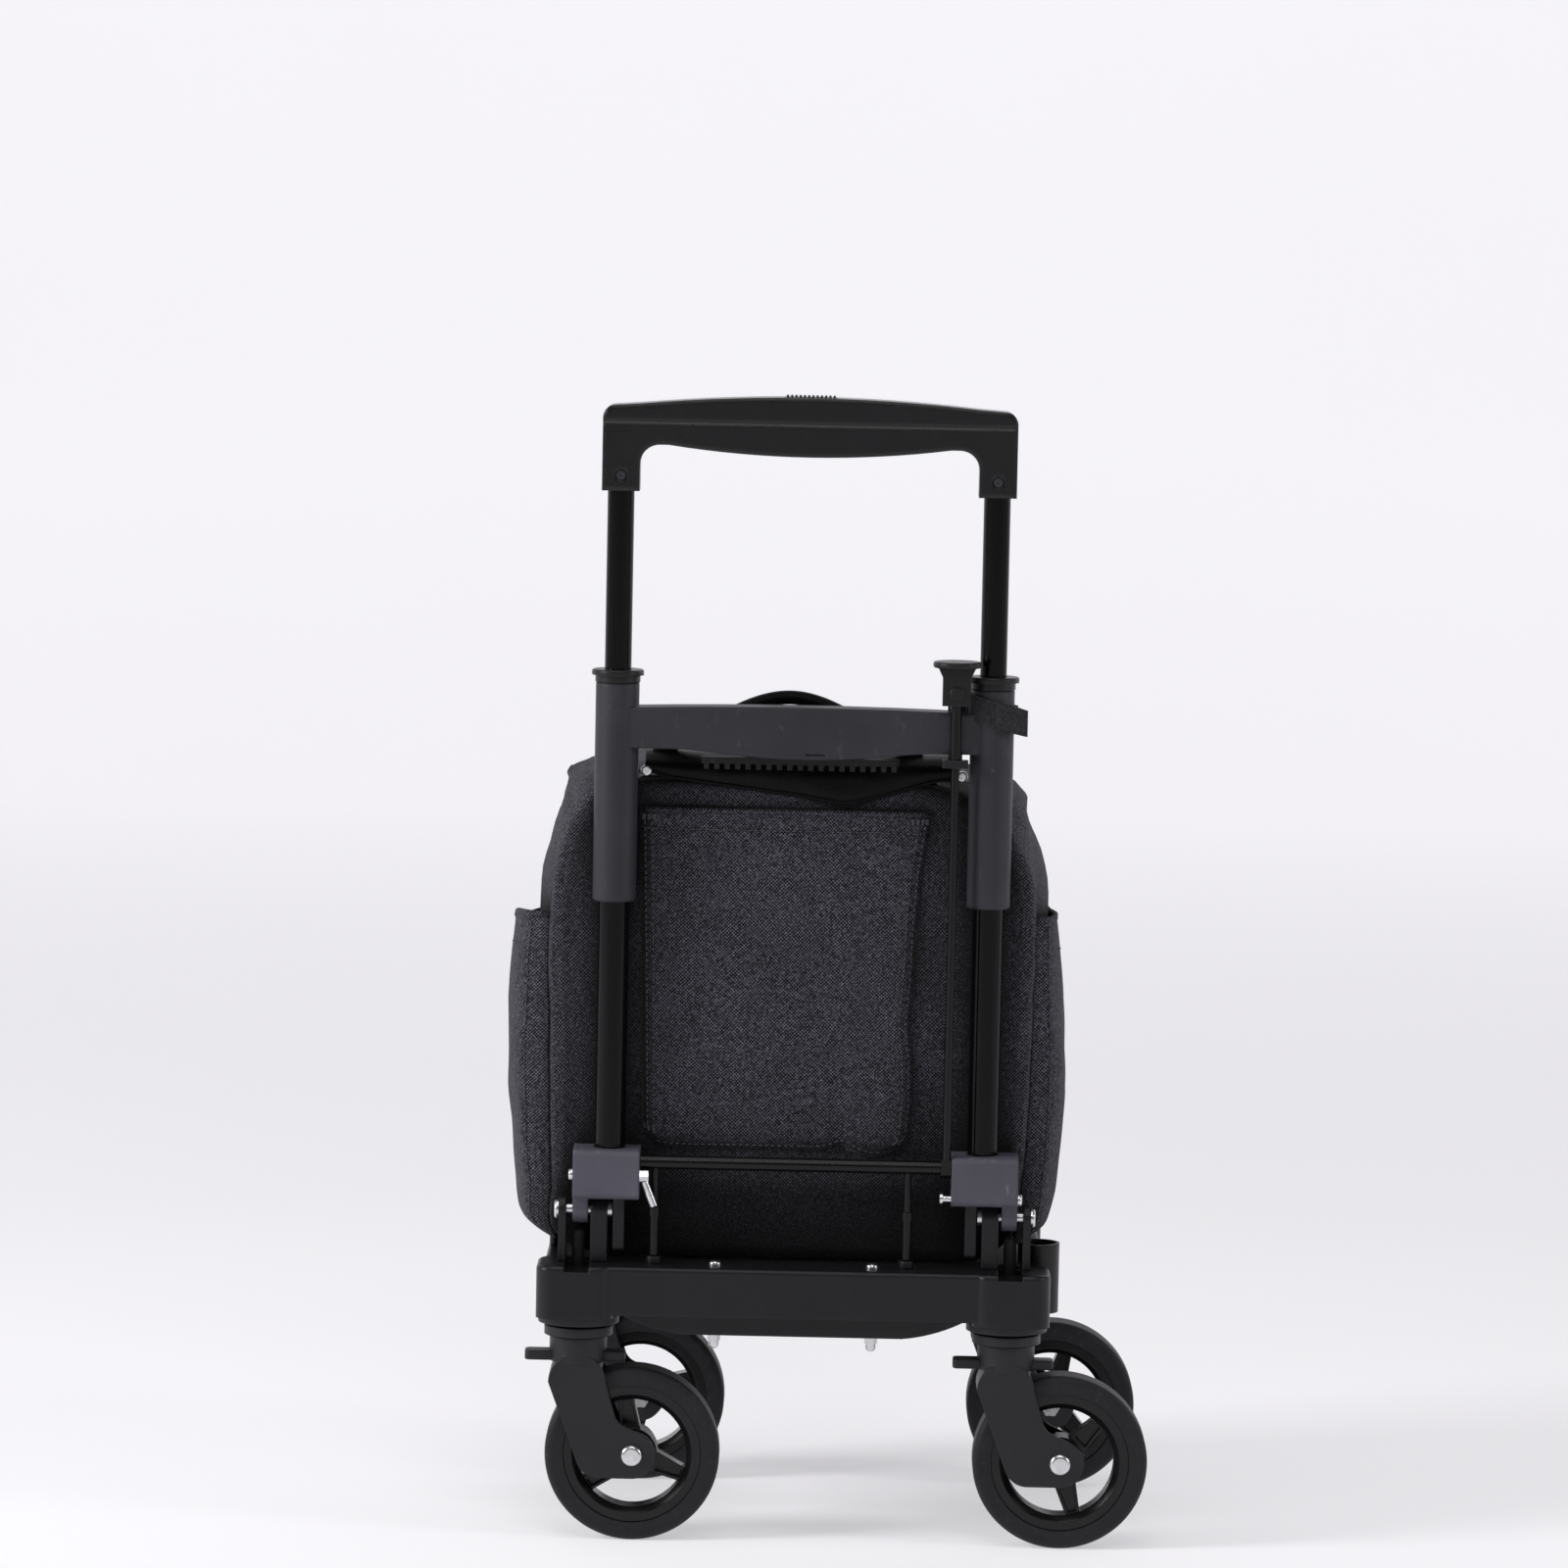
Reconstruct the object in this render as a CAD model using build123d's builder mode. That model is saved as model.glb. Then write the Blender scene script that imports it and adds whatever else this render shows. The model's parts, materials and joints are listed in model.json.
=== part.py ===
from build123d import *
import os

# Four-caster pet stroller: a moulded base on swivel casters, two folding posts joined by
# an H-shaped grip, a telescopic handle, and a soft carrier bag hung on the posts.
#
# Row frame: +Z up, +X to the right of a user who stands at -Y and pushes towards +Y.
# The origin is on the floor, under the middle of the bounding box. The frame's own mid-plane
# lies a little to the left of it, because all four casters trail to the right.

# ---------------------------------------------------------------- driving dimensions (mm)
MID_X = -22.8
SIDES = (-1, 1)

# casters
CASTER_X = 153.0
CASTER_Y = 110.0
CASTER_TRAIL = 40.0
WHEEL_R = 62.5
TYRE_HALF_W = 15.0
RIM_R = 49.5
RIM_OPENING_R = 39.0
RIM_HALF_W = 13.0
HUB_R = 18.0
HUB_BOSS_R = 8.0
HUB_BOSS_HALF_W = 16.2
FORK_HALF_GAP = 16.5
FORK_PLATE_T = 2.5
FORK_HEAD_R = 20.5
FORK_HEAD_Z = 114.5
FORK_FOOT_R = 17.0
FORK_NECK_TOP_Z = 146.2
AXLE_R = 4.0
KING_PIN_R = 6.0
RUN_GAP = 0.05
LEVER_Z = 128.0
LEVER_T = 7.0
MOUNT_BOTTOM_Z = 147.0
MOUNT_LIP_Z = 156.0
MOUNT_SCREW_X = 21.0

# base
BEAM_HALF_X = 178.0
BEAM_HALF_Y = 140.0
BEAM_BOTTOM_Z = 165.0
DECK_Z = 200.0
DECK_T = 5.0
BLOCK_BOTTOM_Z = 162.0
BLOCK_IN_X = 128.0
BLOCK_OUT_X = 183.0
BLOCK_IN_Y = 93.0
BLOCK_OUT_Y = 143.0
RIM_TOP_Z = 208.0
DECK_BOLT_X = 56.0
DECK_BOLT_Y = -122.0
PAN_BOTTOM_Z = 151.0
CUP_X = 176.0
CUP_Y = -70.0
CUP_R = 15.0
CUP_BORE_R = 12.5
CUP_TOP_Z = 213.0
CUP_BOTTOM_Z = 163.0
CUP_FLOOR_T = 3.0

# fold hinge: the posts turn about one axis along X
PIVOT_Y = -110.0
PIVOT_Z = 236.6
EAR_R = 9.5
INNER_EAR_X = 133.5
INNER_EAR_T = 12.0
OUTER_EAR_X = 163.0
OUTER_EAR_T = 5.5
PIVOT_BOLT_R = 4.0
KNUCKLE_X = 147.5
BRACKET_IN_X = 111.0
BRACKET_OUT_X = 158.5
BRACKET_FRONT_Y = -131.0
BRACKET_BACK_Y = -98.0
BRACKET_BOTTOM_Z = 246.6
BRACKET_TOP_Z = 282.0
FOOT_BOTTOM_Z = 207.0

# posts, grip and handle
POST_X = 133.0
POST_R = 11.0
POST_BORE_R = 9.6
POST_BOTTOM_Z = 250.0
POST_TOP_Z = 612.0
SLEEVE_R = 15.5
SLEEVE_BOTTOM_Z = 459.0
SLEEVE_TOP_Z = 615.0
COLLAR_TOP_Z = 624.0
TUBE_R = 9.5
TUBE_BORE_R = 8.2
TUBE_BOTTOM_Z = 380.0
TUBE_TOP_Z = 796.0
CROSSBAR_FRONT_Y = -123.0
CROSSBAR_T = 24.0
CROSSBAR_TOP_Z = 600.0
CROSSBAR_BOTTOM_Z = 563.0
HANDLE_HALF_X = 146.3
HANDLE_HALF_Y = 14.0
HANDLE_PART_Z = 800.0
HANDLE_TOP_Z = 819.0
HANDLE_END_Z = 811.0
HANDLE_WALL = 3.0
SOCKET_HALF_X = 13.3
SOCKET_BOTTOM_Z = 751.0
BUTTON_HALF_X = 19.0
BUTTON_HALF_Y = 7.0

# fold lock: a knob on a rod that lifts a cross rod
LOCK_X = 107.0
LOCK_ROD_Y = -127.5
CROSS_ROD_Y = -119.0
CROSS_ROD_Z = 273.0
CROSS_ROD_R = 5.0
CROSS_PIN_R = 2.0
LOCK_TRAVEL = 5.0
PLUNGER_X = (-100.0, 80.0)
BOSS_TOP_Z = 205.5

# bag
BAG_X = -6.0
BAG_HALF_X = 183.0
BAG_REAR_Y = -93.5
BAG_FRONT_Y = 148.0
BAG_BOTTOM_Z = 203.0
BAG_TOP_Z = 558.0
BAG_SHOULDER_R = 80.0
BAG_FOOT_R = 50.0
BAG_WALL = 4.0
LID_HALF_X = 130.0
LID_REAR_Y = -65.0
LID_FRONT_Y = 126.0
LID_GAP = 0.6
POCKET_TOP_Z = 446.0
POCKET_BULGE = 21.0
FLAP_LEFT_X = -117.0
FLAP_RIGHT_X = 107.0

CASTERS = {
    "rear_left": (-1, -1),
    "rear_right": (1, -1),
    "front_left": (-1, 1),
    "front_right": (1, 1),
}
SPOKE_START_DEG = {"rear_left": 97.0, "rear_right": 45.0, "front_left": 20.0, "front_right": 75.0}


# ---------------------------------------------------------------- planes and small helpers
def level(x, y, z):
    """A level plane: local x is +X and local y is +Y. X is counted from the mid-plane."""
    return Plane(origin=(MID_X + x, y, z), x_dir=(1, 0, 0), z_dir=(0, 0, 1))


def facing_user(x, y, z):
    """An upright plane whose normal is -Y: local x is +X and local y is +Z."""
    return Plane(origin=(MID_X + x, y, z), x_dir=(1, 0, 0), z_dir=(0, -1, 0))


def facing_right(x, y, z):
    """An upright plane whose normal is +X: local x is +Y and local y is +Z."""
    return Plane(origin=(MID_X + x, y, z), x_dir=(0, 1, 0), z_dir=(1, 0, 0))


def save(piece, name):
    piece.label = name
    export_step(piece, f"parts/{name}.step")


def between(side, near, far):
    """The lower X of a span that lies from near to far outwards on one side."""
    return near if side > 0 else -far


def caster_axis(name):
    side_x, side_y = CASTERS[name]
    return side_x * CASTER_X, side_y * CASTER_Y


# ---------------------------------------------------------------- base
def make_base_frame():
    block_w = BLOCK_OUT_X - BLOCK_IN_X
    block_d = BLOCK_OUT_Y - BLOCK_IN_Y
    block_x = (BLOCK_OUT_X + BLOCK_IN_X) / 2
    block_y = (BLOCK_OUT_Y + BLOCK_IN_Y) / 2
    with BuildPart() as base:
        with BuildSketch(level(0, 0, BEAM_BOTTOM_Z)):
            RectangleRounded(2 * BEAM_HALF_X, 2 * BEAM_HALF_Y, 16)
        extrude(amount=DECK_Z - BEAM_BOTTOM_Z)
        with BuildSketch(level(0, 0, BLOCK_BOTTOM_Z)):
            with Locations(*[(sx * block_x, sy * block_y) for sx in SIDES for sy in SIDES]):
                RectangleRounded(block_w, block_d, 12)
        extrude(amount=DECK_Z - BLOCK_BOTTOM_Z)
        fillet(base.edges().group_by(Axis.Z)[-1], 3)

        # hinge pockets in the rear corner blocks, open to the user's side
        pocket_x = (INNER_EAR_X + INNER_EAR_T + OUTER_EAR_X) / 2
        with BuildSketch(level(0, PIVOT_Y, 196)):
            with Locations((-pocket_x, -12), (pocket_x, -12)):
                Rectangle(OUTER_EAR_X - INNER_EAR_X - INNER_EAR_T, 56)
        extrude(amount=20, mode=Mode.SUBTRACT)

        # underside cells, which leave a deck, walls and ribs
        with BuildSketch(level(0, 0, BEAM_BOTTOM_Z - 4)):
            with GridLocations(59, 67, 4, 4):
                RectangleRounded(54, 62, 4)
            with Locations((-147.5, 0), (147.5, 0)):
                with GridLocations(1, 60, 1, 3):
                    RectangleRounded(49, 54, 4)
        extrude(amount=DECK_Z - DECK_T - BEAM_BOTTOM_Z + 4, mode=Mode.SUBTRACT)

        # seat of the umbrella cup, deck bolt holes and caster screw holes
        with BuildSketch(level(CUP_X, CUP_Y, BLOCK_BOTTOM_Z - 1)):
            Circle(CUP_R)
        extrude(amount=60, mode=Mode.SUBTRACT)
        with BuildSketch(level(0, DECK_BOLT_Y, BEAM_BOTTOM_Z - 1)):
            with Locations((-DECK_BOLT_X, 0), (DECK_BOLT_X, 0)):
                Circle(2.5)
        extrude(amount=DECK_Z - BEAM_BOTTOM_Z + 2, mode=Mode.SUBTRACT)
        for name in CASTERS:
            x, y = caster_axis(name)
            with BuildSketch(level(x, y, BLOCK_BOTTOM_Z)):
                with Locations((-MOUNT_SCREW_X, 0), (MOUNT_SCREW_X, 0)):
                    Circle(2)
            extrude(amount=12, mode=Mode.SUBTRACT)
    return base.part


def make_deck_lugs():
    """What stands on the deck: two low side rims, two plunger bosses and four hinge ears."""
    with BuildPart() as lugs:
        # rims that keep the bag from sliding off the deck
        with BuildSketch(level(0, 34, DECK_Z)):
            with Locations((-174, 0), (174, 0)):
                RectangleRounded(6, 172, 2.9)
        extrude(amount=RIM_TOP_Z - DECK_Z)

        # guide bosses under the lock plungers
        with BuildSketch(level(0, CROSS_ROD_Y, DECK_Z)):
            with Locations(*[(x, 0) for x in PLUNGER_X]):
                Circle(5.5)
        extrude(amount=BOSS_TOP_Z - DECK_Z)

        # hinge ears
        foot = PIVOT_Z - DECK_Z
        for side in SIDES:
            for near, thick in ((INNER_EAR_X, INNER_EAR_T), (OUTER_EAR_X, OUTER_EAR_T)):
                with BuildSketch(facing_right(between(side, near, near + thick), PIVOT_Y, PIVOT_Z)):
                    Circle(EAR_R)
                    with Locations((0, -foot / 2)):
                        Rectangle(2 * EAR_R, foot)
                    Circle(PIVOT_BOLT_R, mode=Mode.SUBTRACT)
                extrude(amount=thick)
    return lugs.part


def make_tray_pan():
    half_top = 124.0
    half_flat = 78.0
    depth = BEAM_BOTTOM_Z - PAN_BOTTOM_Z
    with BuildPart() as pan:
        with BuildSketch(facing_user(0, 131, 0)):
            with BuildLine():
                Polyline(
                    (-half_flat, PAN_BOTTOM_Z),
                    (half_flat, PAN_BOTTOM_Z),
                )
                for side in SIDES:
                    middle = (side * (half_top + half_flat) / 2, PAN_BOTTOM_Z + 0.32 * depth)
                    ThreePointArc((side * half_flat, PAN_BOTTOM_Z), middle, (side * half_top, BEAM_BOTTOM_Z))
                Line((-half_top, BEAM_BOTTOM_Z), (half_top, BEAM_BOTTOM_Z))
            make_face()
        extrude(amount=262)
        with BuildSketch(level(0, 0, PAN_BOTTOM_Z + 3)):
            with GridLocations(51, 63, 3, 4):
                RectangleRounded(48, 60, 4)
        extrude(amount=depth, mode=Mode.SUBTRACT)
        with BuildSketch(level(0, DECK_BOLT_Y, PAN_BOTTOM_Z - 1)):
            with Locations((-DECK_BOLT_X, 0), (DECK_BOLT_X, 0)):
                Circle(2.5)
        extrude(amount=depth + 2, mode=Mode.SUBTRACT)
    return pan.part


def make_umbrella_cup():
    with BuildPart() as cup:
        with BuildSketch(level(CUP_X, CUP_Y, CUP_BOTTOM_Z)):
            Circle(CUP_R)
        extrude(amount=CUP_TOP_Z - CUP_BOTTOM_Z)
        with BuildSketch(level(CUP_X, CUP_Y, CUP_BOTTOM_Z + CUP_FLOOR_T)):
            Circle(CUP_BORE_R)
        extrude(amount=CUP_TOP_Z - CUP_BOTTOM_Z, mode=Mode.SUBTRACT)
        # drain hole
        with BuildSketch(level(CUP_X, CUP_Y, CUP_BOTTOM_Z - 1)):
            Circle(3)
        extrude(amount=CUP_FLOOR_T + 2, mode=Mode.SUBTRACT)
    return cup.part


def make_deck_bolts():
    head_t = 3.4
    nut_t = 5.0
    with BuildPart() as bolts:
        for side in SIDES:
            x = side * DECK_BOLT_X
            with BuildSketch(level(x, DECK_BOLT_Y, DECK_Z)):
                Circle(4.6)
            extrude(amount=head_t)
            fillet(bolts.edges().group_by(Axis.Z)[-1], 2.2)
            with BuildSketch(level(x, DECK_BOLT_Y, PAN_BOTTOM_Z - nut_t)):
                Circle(2.45)
            extrude(amount=DECK_Z - PAN_BOTTOM_Z + nut_t)
            # acorn nut: hexagon with a dome below it
            with BuildSketch(level(x, DECK_BOLT_Y, PAN_BOTTOM_Z - nut_t)):
                RegularPolygon(4.6, 6)
            extrude(amount=nut_t)
            with BuildSketch(level(x, DECK_BOLT_Y, PAN_BOTTOM_Z - nut_t)):
                Circle(3.6)
            extrude(amount=-6)
            fillet(bolts.edges().group_by(Axis.Z)[0], 3.2)
    return bolts.part


def make_pivot_bolts():
    with BuildPart() as bolts:
        for side in SIDES:
            with BuildSketch(facing_right(between(side, 131.0, 171.0), PIVOT_Y, PIVOT_Z)):
                Circle(PIVOT_BOLT_R)
            extrude(amount=40)
            # flat head inside the inner ear, domed head outside the outer ear
            with BuildSketch(facing_right(between(side, 130.4, INNER_EAR_X), PIVOT_Y, PIVOT_Z)):
                Circle(6.2)
            extrude(amount=INNER_EAR_X - 130.4)
            outer = OUTER_EAR_X + OUTER_EAR_T
            with BuildSketch(facing_right(between(side, outer, outer + 3.2), PIVOT_Y, PIVOT_Z)):
                Circle(6.8)
            extrude(amount=3.2)
            end = Axis.X if side > 0 else -Axis.X
            fillet(bolts.edges().group_by(end)[-1], 2.0)
    return bolts.part


def make_fold_stops():
    stop_x = (INNER_EAR_X + INNER_EAR_T + OUTER_EAR_X) / 2
    with BuildPart() as stops:
        with BuildSketch(level(0, PIVOT_Y, 196)):
            with Locations((-stop_x, 0), (stop_x, 0)):
                Circle(4.5)
        extrude(amount=26)
        chamfer(stops.edges().group_by(Axis.Z)[-1], 1.2)
    return stops.part


# ---------------------------------------------------------------- casters
def make_swivel_mounts():
    """Fixed caster plates: lip, screw groove, ring and king pin, turned about the swivel axis."""
    profile = [
        (0, 139),
        (KING_PIN_R, 139),
        (KING_PIN_R, MOUNT_BOTTOM_Z),
        (24.5, MOUNT_BOTTOM_Z),
        (24.5, 153.8),
        (16.8, 153.8),
        (16.8, MOUNT_LIP_Z),
        (29, MOUNT_LIP_Z),
        (29, BLOCK_BOTTOM_Z),
        (0, BLOCK_BOTTOM_Z),
    ]
    with BuildPart() as mounts:
        for name in CASTERS:
            x, y = caster_axis(name)
            with BuildSketch(facing_user(x, y, 0)):
                with BuildLine():
                    Polyline(*profile, close=True)
                make_face()
            revolve(axis=Axis((MID_X + x, y, 0), (0, 0, 1)))
            with BuildSketch(level(x, y, MOUNT_LIP_Z - 0.1)):
                with Locations((-MOUNT_SCREW_X, 0), (MOUNT_SCREW_X, 0)):
                    Circle(2)
            extrude(amount=BLOCK_BOTTOM_Z - MOUNT_LIP_Z + 0.2, mode=Mode.SUBTRACT)
    return mounts.part


def make_caster_screws():
    with BuildPart() as screws:
        for name in CASTERS:
            x, y = caster_axis(name)
            for side in SIDES:
                with BuildSketch(level(x + side * MOUNT_SCREW_X, y, MOUNT_LIP_Z)):
                    Circle(2)
                extrude(amount=17)
                with BuildSketch(level(x + side * MOUNT_SCREW_X, y, 154)):
                    Circle(4)
                extrude(amount=MOUNT_LIP_Z - 154)
    return screws.part


def make_swivel_bearings():
    with BuildPart() as bearings:
        for name in CASTERS:
            x, y = caster_axis(name)
            with BuildSketch(level(x, y, FORK_NECK_TOP_Z + RUN_GAP)):
                Circle(19)
                Circle(9, mode=Mode.SUBTRACT)
            extrude(amount=MOUNT_BOTTOM_Z - FORK_NECK_TOP_Z - RUN_GAP)
    return bearings.part


def fork_outline():
    """Boomerang plate: round head on the swivel axis, round foot about the axle."""
    foot = WHEEL_R - FORK_FOOT_R
    with BuildLine() as outline:
        ThreePointArc(
            (-FORK_HEAD_R, FORK_HEAD_Z),
            (0, FORK_HEAD_Z + FORK_HEAD_R),
            (FORK_HEAD_R, FORK_HEAD_Z),
        )
        FilletPolyline(
            (FORK_HEAD_R, FORK_HEAD_Z),
            (29, 86),
            (CASTER_TRAIL + 5, WHEEL_R + FORK_FOOT_R * 0.955),
            radius=12,
        )
        ThreePointArc(
            (CASTER_TRAIL + 5, WHEEL_R + FORK_FOOT_R * 0.955),
            (CASTER_TRAIL + FORK_FOOT_R, WHEEL_R),
            (CASTER_TRAIL, foot),
        )
        FilletPolyline((CASTER_TRAIL, foot), (5, foot), (-FORK_HEAD_R, FORK_HEAD_Z), radius=17)
    return outline.line


def make_fork(name):
    x, y = caster_axis(name)
    plate_y = FORK_HALF_GAP + FORK_PLATE_T
    outline = fork_outline()
    with BuildPart() as fork:
        for start_y in (y + plate_y, y - FORK_HALF_GAP):
            with BuildSketch(facing_user(x, start_y, 0)):
                add(outline)
                make_face()
                with Locations((CASTER_TRAIL, WHEEL_R)):
                    Circle(AXLE_R, mode=Mode.SUBTRACT)
            extrude(amount=FORK_PLATE_T)
        # saddle between the plates, cut back round the wheel
        with BuildSketch(facing_user(x, y + FORK_HALF_GAP, 0)):
            add(outline)
            make_face()
            with Locations((CASTER_TRAIL, WHEEL_R)):
                Circle(WHEEL_R + 3, mode=Mode.SUBTRACT)
        extrude(amount=2 * FORK_HALF_GAP)
        with BuildSketch(level(x, y, LEVER_Z)):
            Circle(FORK_HEAD_R)
        extrude(amount=FORK_NECK_TOP_Z - LEVER_Z)
        with BuildSketch(level(x, y, 138)):
            Circle(KING_PIN_R + RUN_GAP)
        extrude(amount=20, mode=Mode.SUBTRACT)
        # slot for the swivel lock lever
        with BuildSketch(level(x, y, LEVER_Z - 0.3)):
            Rectangle(80, 15.6)
        extrude(amount=LEVER_T + 0.6, mode=Mode.SUBTRACT)
    return fork.part


def make_lock_lever(name):
    x, y = caster_axis(name)
    with BuildPart() as lever:
        with BuildSketch(level(x - 2, y, LEVER_Z)):
            RectangleRounded(72, 15, 4)
        extrude(amount=LEVER_T)
        fillet(lever.edges().filter_by(Axis.Z, reverse=True), 1)
    return lever.part


def make_axle_bolt(name):
    """Domed head on the outer side of the stroller, nut on the inner side."""
    x, y = caster_axis(name)
    out = 1 if y > 0 else -1
    face = FORK_HALF_GAP + FORK_PLATE_T
    axle_x = x + CASTER_TRAIL
    with BuildPart() as bolt:
        with BuildSketch(facing_user(axle_x, y + face + 7, WHEEL_R)):
            Circle(AXLE_R)
        extrude(amount=2 * face + 14)
        head_start = y + out * face if out < 0 else y + face + 4
        with BuildSketch(facing_user(axle_x, head_start, WHEEL_R)):
            Circle(7.75)
        extrude(amount=4)
        nut_start = y - out * face if out > 0 else y + face + 5
        with BuildSketch(facing_user(axle_x, nut_start, WHEEL_R)):
            RegularPolygon(7, 6)
        extrude(amount=5)
        with BuildSketch(facing_user(axle_x, y + out * (face + 4) + 8 * (out > 0), WHEEL_R)):
            Circle(9)
        extrude(amount=8, mode=Mode.SUBTRACT)
        head_edges = bolt.edges().group_by(Axis.Y)[-1 if out > 0 else 0]
        fillet(head_edges, 3)
    return bolt.part


def make_rim(name):
    x, y = caster_axis(name)
    axle_x = x + CASTER_TRAIL
    start = SPOKE_START_DEG[name]
    with BuildPart() as rim:
        with BuildSketch(facing_user(axle_x, y, WHEEL_R)):
            Circle(RIM_R)
            Circle(RIM_OPENING_R, mode=Mode.SUBTRACT)
        extrude(amount=RIM_HALF_W, both=True)
        inner_lip = rim.edges().filter_by(GeomType.CIRCLE).sort_by(SortBy.RADIUS)[:2]
        chamfer(inner_lip, 4)
        with BuildSketch(facing_user(axle_x, y, WHEEL_R)):
            Circle(HUB_R)
        extrude(amount=RIM_HALF_W - 3, both=True)
        with BuildSketch(facing_user(axle_x, y, WHEEL_R)):
            Circle(HUB_BOSS_R)
        extrude(amount=HUB_BOSS_HALF_W, both=True)
        # tapered spokes, each with a recessed web between two ribs
        with BuildSketch(facing_user(axle_x, y, WHEEL_R)):
            with PolarLocations(0, 3, start_angle=start):
                Polygon((14, -8), (14, 8), (41, 5), (41, -5), align=None)
        extrude(amount=7, both=True)
        for face_y in (y + 10, y - 2.5):
            with BuildSketch(facing_user(axle_x, face_y, WHEEL_R)):
                with PolarLocations(0, 3, start_angle=start):
                    Polygon((20, -5.5), (20, 5.5), (38, 3), (38, -3), align=None)
            extrude(amount=7.5, mode=Mode.SUBTRACT)
        with BuildSketch(facing_user(axle_x, y, WHEEL_R)):
            Circle(AXLE_R + RUN_GAP)
        extrude(amount=HUB_BOSS_HALF_W + 1, both=True, mode=Mode.SUBTRACT)
    return rim.part


def make_tyre(name):
    x, y = caster_axis(name)
    with BuildPart() as tyre:
        with BuildSketch(facing_user(x + CASTER_TRAIL, y, WHEEL_R)):
            Circle(WHEEL_R)
            Circle(RIM_R, mode=Mode.SUBTRACT)
        extrude(amount=TYRE_HALF_W, both=True)
        tread_edges = tyre.edges().filter_by(GeomType.CIRCLE).sort_by(SortBy.RADIUS)[-2:]
        fillet(tread_edges, 5)
    return tyre.part


# ---------------------------------------------------------------- posts and fold hinge
def make_post(side):
    with BuildPart() as post:
        with BuildSketch(level(side * POST_X, PIVOT_Y, POST_BOTTOM_Z)):
            Circle(POST_R)
            Circle(POST_BORE_R, mode=Mode.SUBTRACT)
        extrude(amount=POST_TOP_Z - POST_BOTTOM_Z)
    return post.part


def bracket_bolt_z(side):
    return 264.0 if side < 0 else 252.0


def make_hinge_bracket(side):
    depth = BRACKET_BACK_Y - BRACKET_FRONT_Y
    width = BRACKET_OUT_X - BRACKET_IN_X
    middle_x = side * (BRACKET_OUT_X + BRACKET_IN_X) / 2
    with BuildPart() as bracket:
        with BuildSketch(level(middle_x, (BRACKET_BACK_Y + BRACKET_FRONT_Y) / 2, BRACKET_BOTTOM_Z)):
            Rectangle(width, depth)
        extrude(amount=BRACKET_TOP_Z - BRACKET_BOTTOM_Z)
        front_edges = bracket.edges().filter_by(Axis.X).sort_by(Axis.Y)[:2]
        fillet(front_edges, 5)
        # knuckle that the pivot bolt passes through
        knuckle_t = BRACKET_OUT_X - KNUCKLE_X
        knuckle_plane = facing_right(between(side, KNUCKLE_X, BRACKET_OUT_X), PIVOT_Y, PIVOT_Z)
        with BuildSketch(knuckle_plane):
            Circle(EAR_R)
            with Locations((0, 6)):
                Rectangle(2 * EAR_R, 12)
        extrude(amount=knuckle_t)
        with BuildSketch(knuckle_plane):
            Circle(PIVOT_BOLT_R + RUN_GAP)
        extrude(amount=knuckle_t, mode=Mode.SUBTRACT)
        with BuildSketch(level(side * POST_X, PIVOT_Y, POST_BOTTOM_Z)):
            Circle(POST_R)
        extrude(amount=60, mode=Mode.SUBTRACT)
        # slot in the inner wall for the cross rod's end pin, and the clamp bolt's bore
        slot_x = between(side, BRACKET_IN_X, BRACKET_IN_X + 9)
        with BuildSketch(facing_right(slot_x, CROSS_ROD_Y, CROSS_ROD_Z + LOCK_TRAVEL / 2)):
            SlotOverall(LOCK_TRAVEL + 2 * CROSS_PIN_R + 0.6, 2 * CROSS_PIN_R + 0.4, rotation=90)
        extrude(amount=9, mode=Mode.SUBTRACT)
        bolt_x = between(side, BRACKET_IN_X - 1, BRACKET_OUT_X + 1)
        with BuildSketch(facing_right(bolt_x, -126.5, bracket_bolt_z(side))):
            Circle(2.5)
        extrude(amount=width + 2, mode=Mode.SUBTRACT)
    return bracket.part


def make_bracket_bolts():
    """Through bolts of the two brackets, with the lock barrel that hangs on the left one."""
    bolt_y = -126.5
    with BuildPart() as bolts:
        for side in SIDES:
            z = bracket_bolt_z(side)
            inner = BRACKET_IN_X - 6
            with BuildSketch(facing_right(between(side, inner, BRACKET_OUT_X), bolt_y, z)):
                Circle(2.5)
            extrude(amount=BRACKET_OUT_X - inner)
            with BuildSketch(facing_right(between(side, BRACKET_OUT_X, BRACKET_OUT_X + 3), bolt_y, z)):
                Circle(4.3)
            extrude(amount=3)
            end = Axis.X if side > 0 else -Axis.X
            fillet(bolts.edges().group_by(end)[-1], 2)
        # nut on the left bolt and a disc on the right one
        with BuildSketch(facing_right(-BRACKET_IN_X, bolt_y, bracket_bolt_z(-1))):
            RegularPolygon(4.4, 6)
        extrude(amount=6.5)
        with BuildSketch(facing_right(BRACKET_IN_X - 6, bolt_y, bracket_bolt_z(1))):
            Circle(4.2)
        extrude(amount=-2)
        # barrel, tilted outwards as it hangs
        barrel_top = (MID_X - 107.5, bolt_y, bracket_bolt_z(-1) - 4.0)
        with BuildSketch(Plane(origin=barrel_top, z_dir=(0.38, 0, -0.925))):
            Circle(2.9)
        extrude(amount=19)
    return bolts.part


def make_post_feet():
    foot_half = 9.0
    with BuildPart() as feet:
        for side in SIDES:
            with BuildSketch(facing_right(between(side, 121.5, 129.5), PIVOT_Y, 0)):
                with Locations((0, (BRACKET_BOTTOM_Z + FOOT_BOTTOM_Z) / 2)):
                    Rectangle(2 * foot_half, BRACKET_BOTTOM_Z - FOOT_BOTTOM_Z)
            extrude(amount=8)
        fillet(feet.edges().filter_by(Axis.X).group_by(Axis.Z)[0], 4)
    return feet.part


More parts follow.
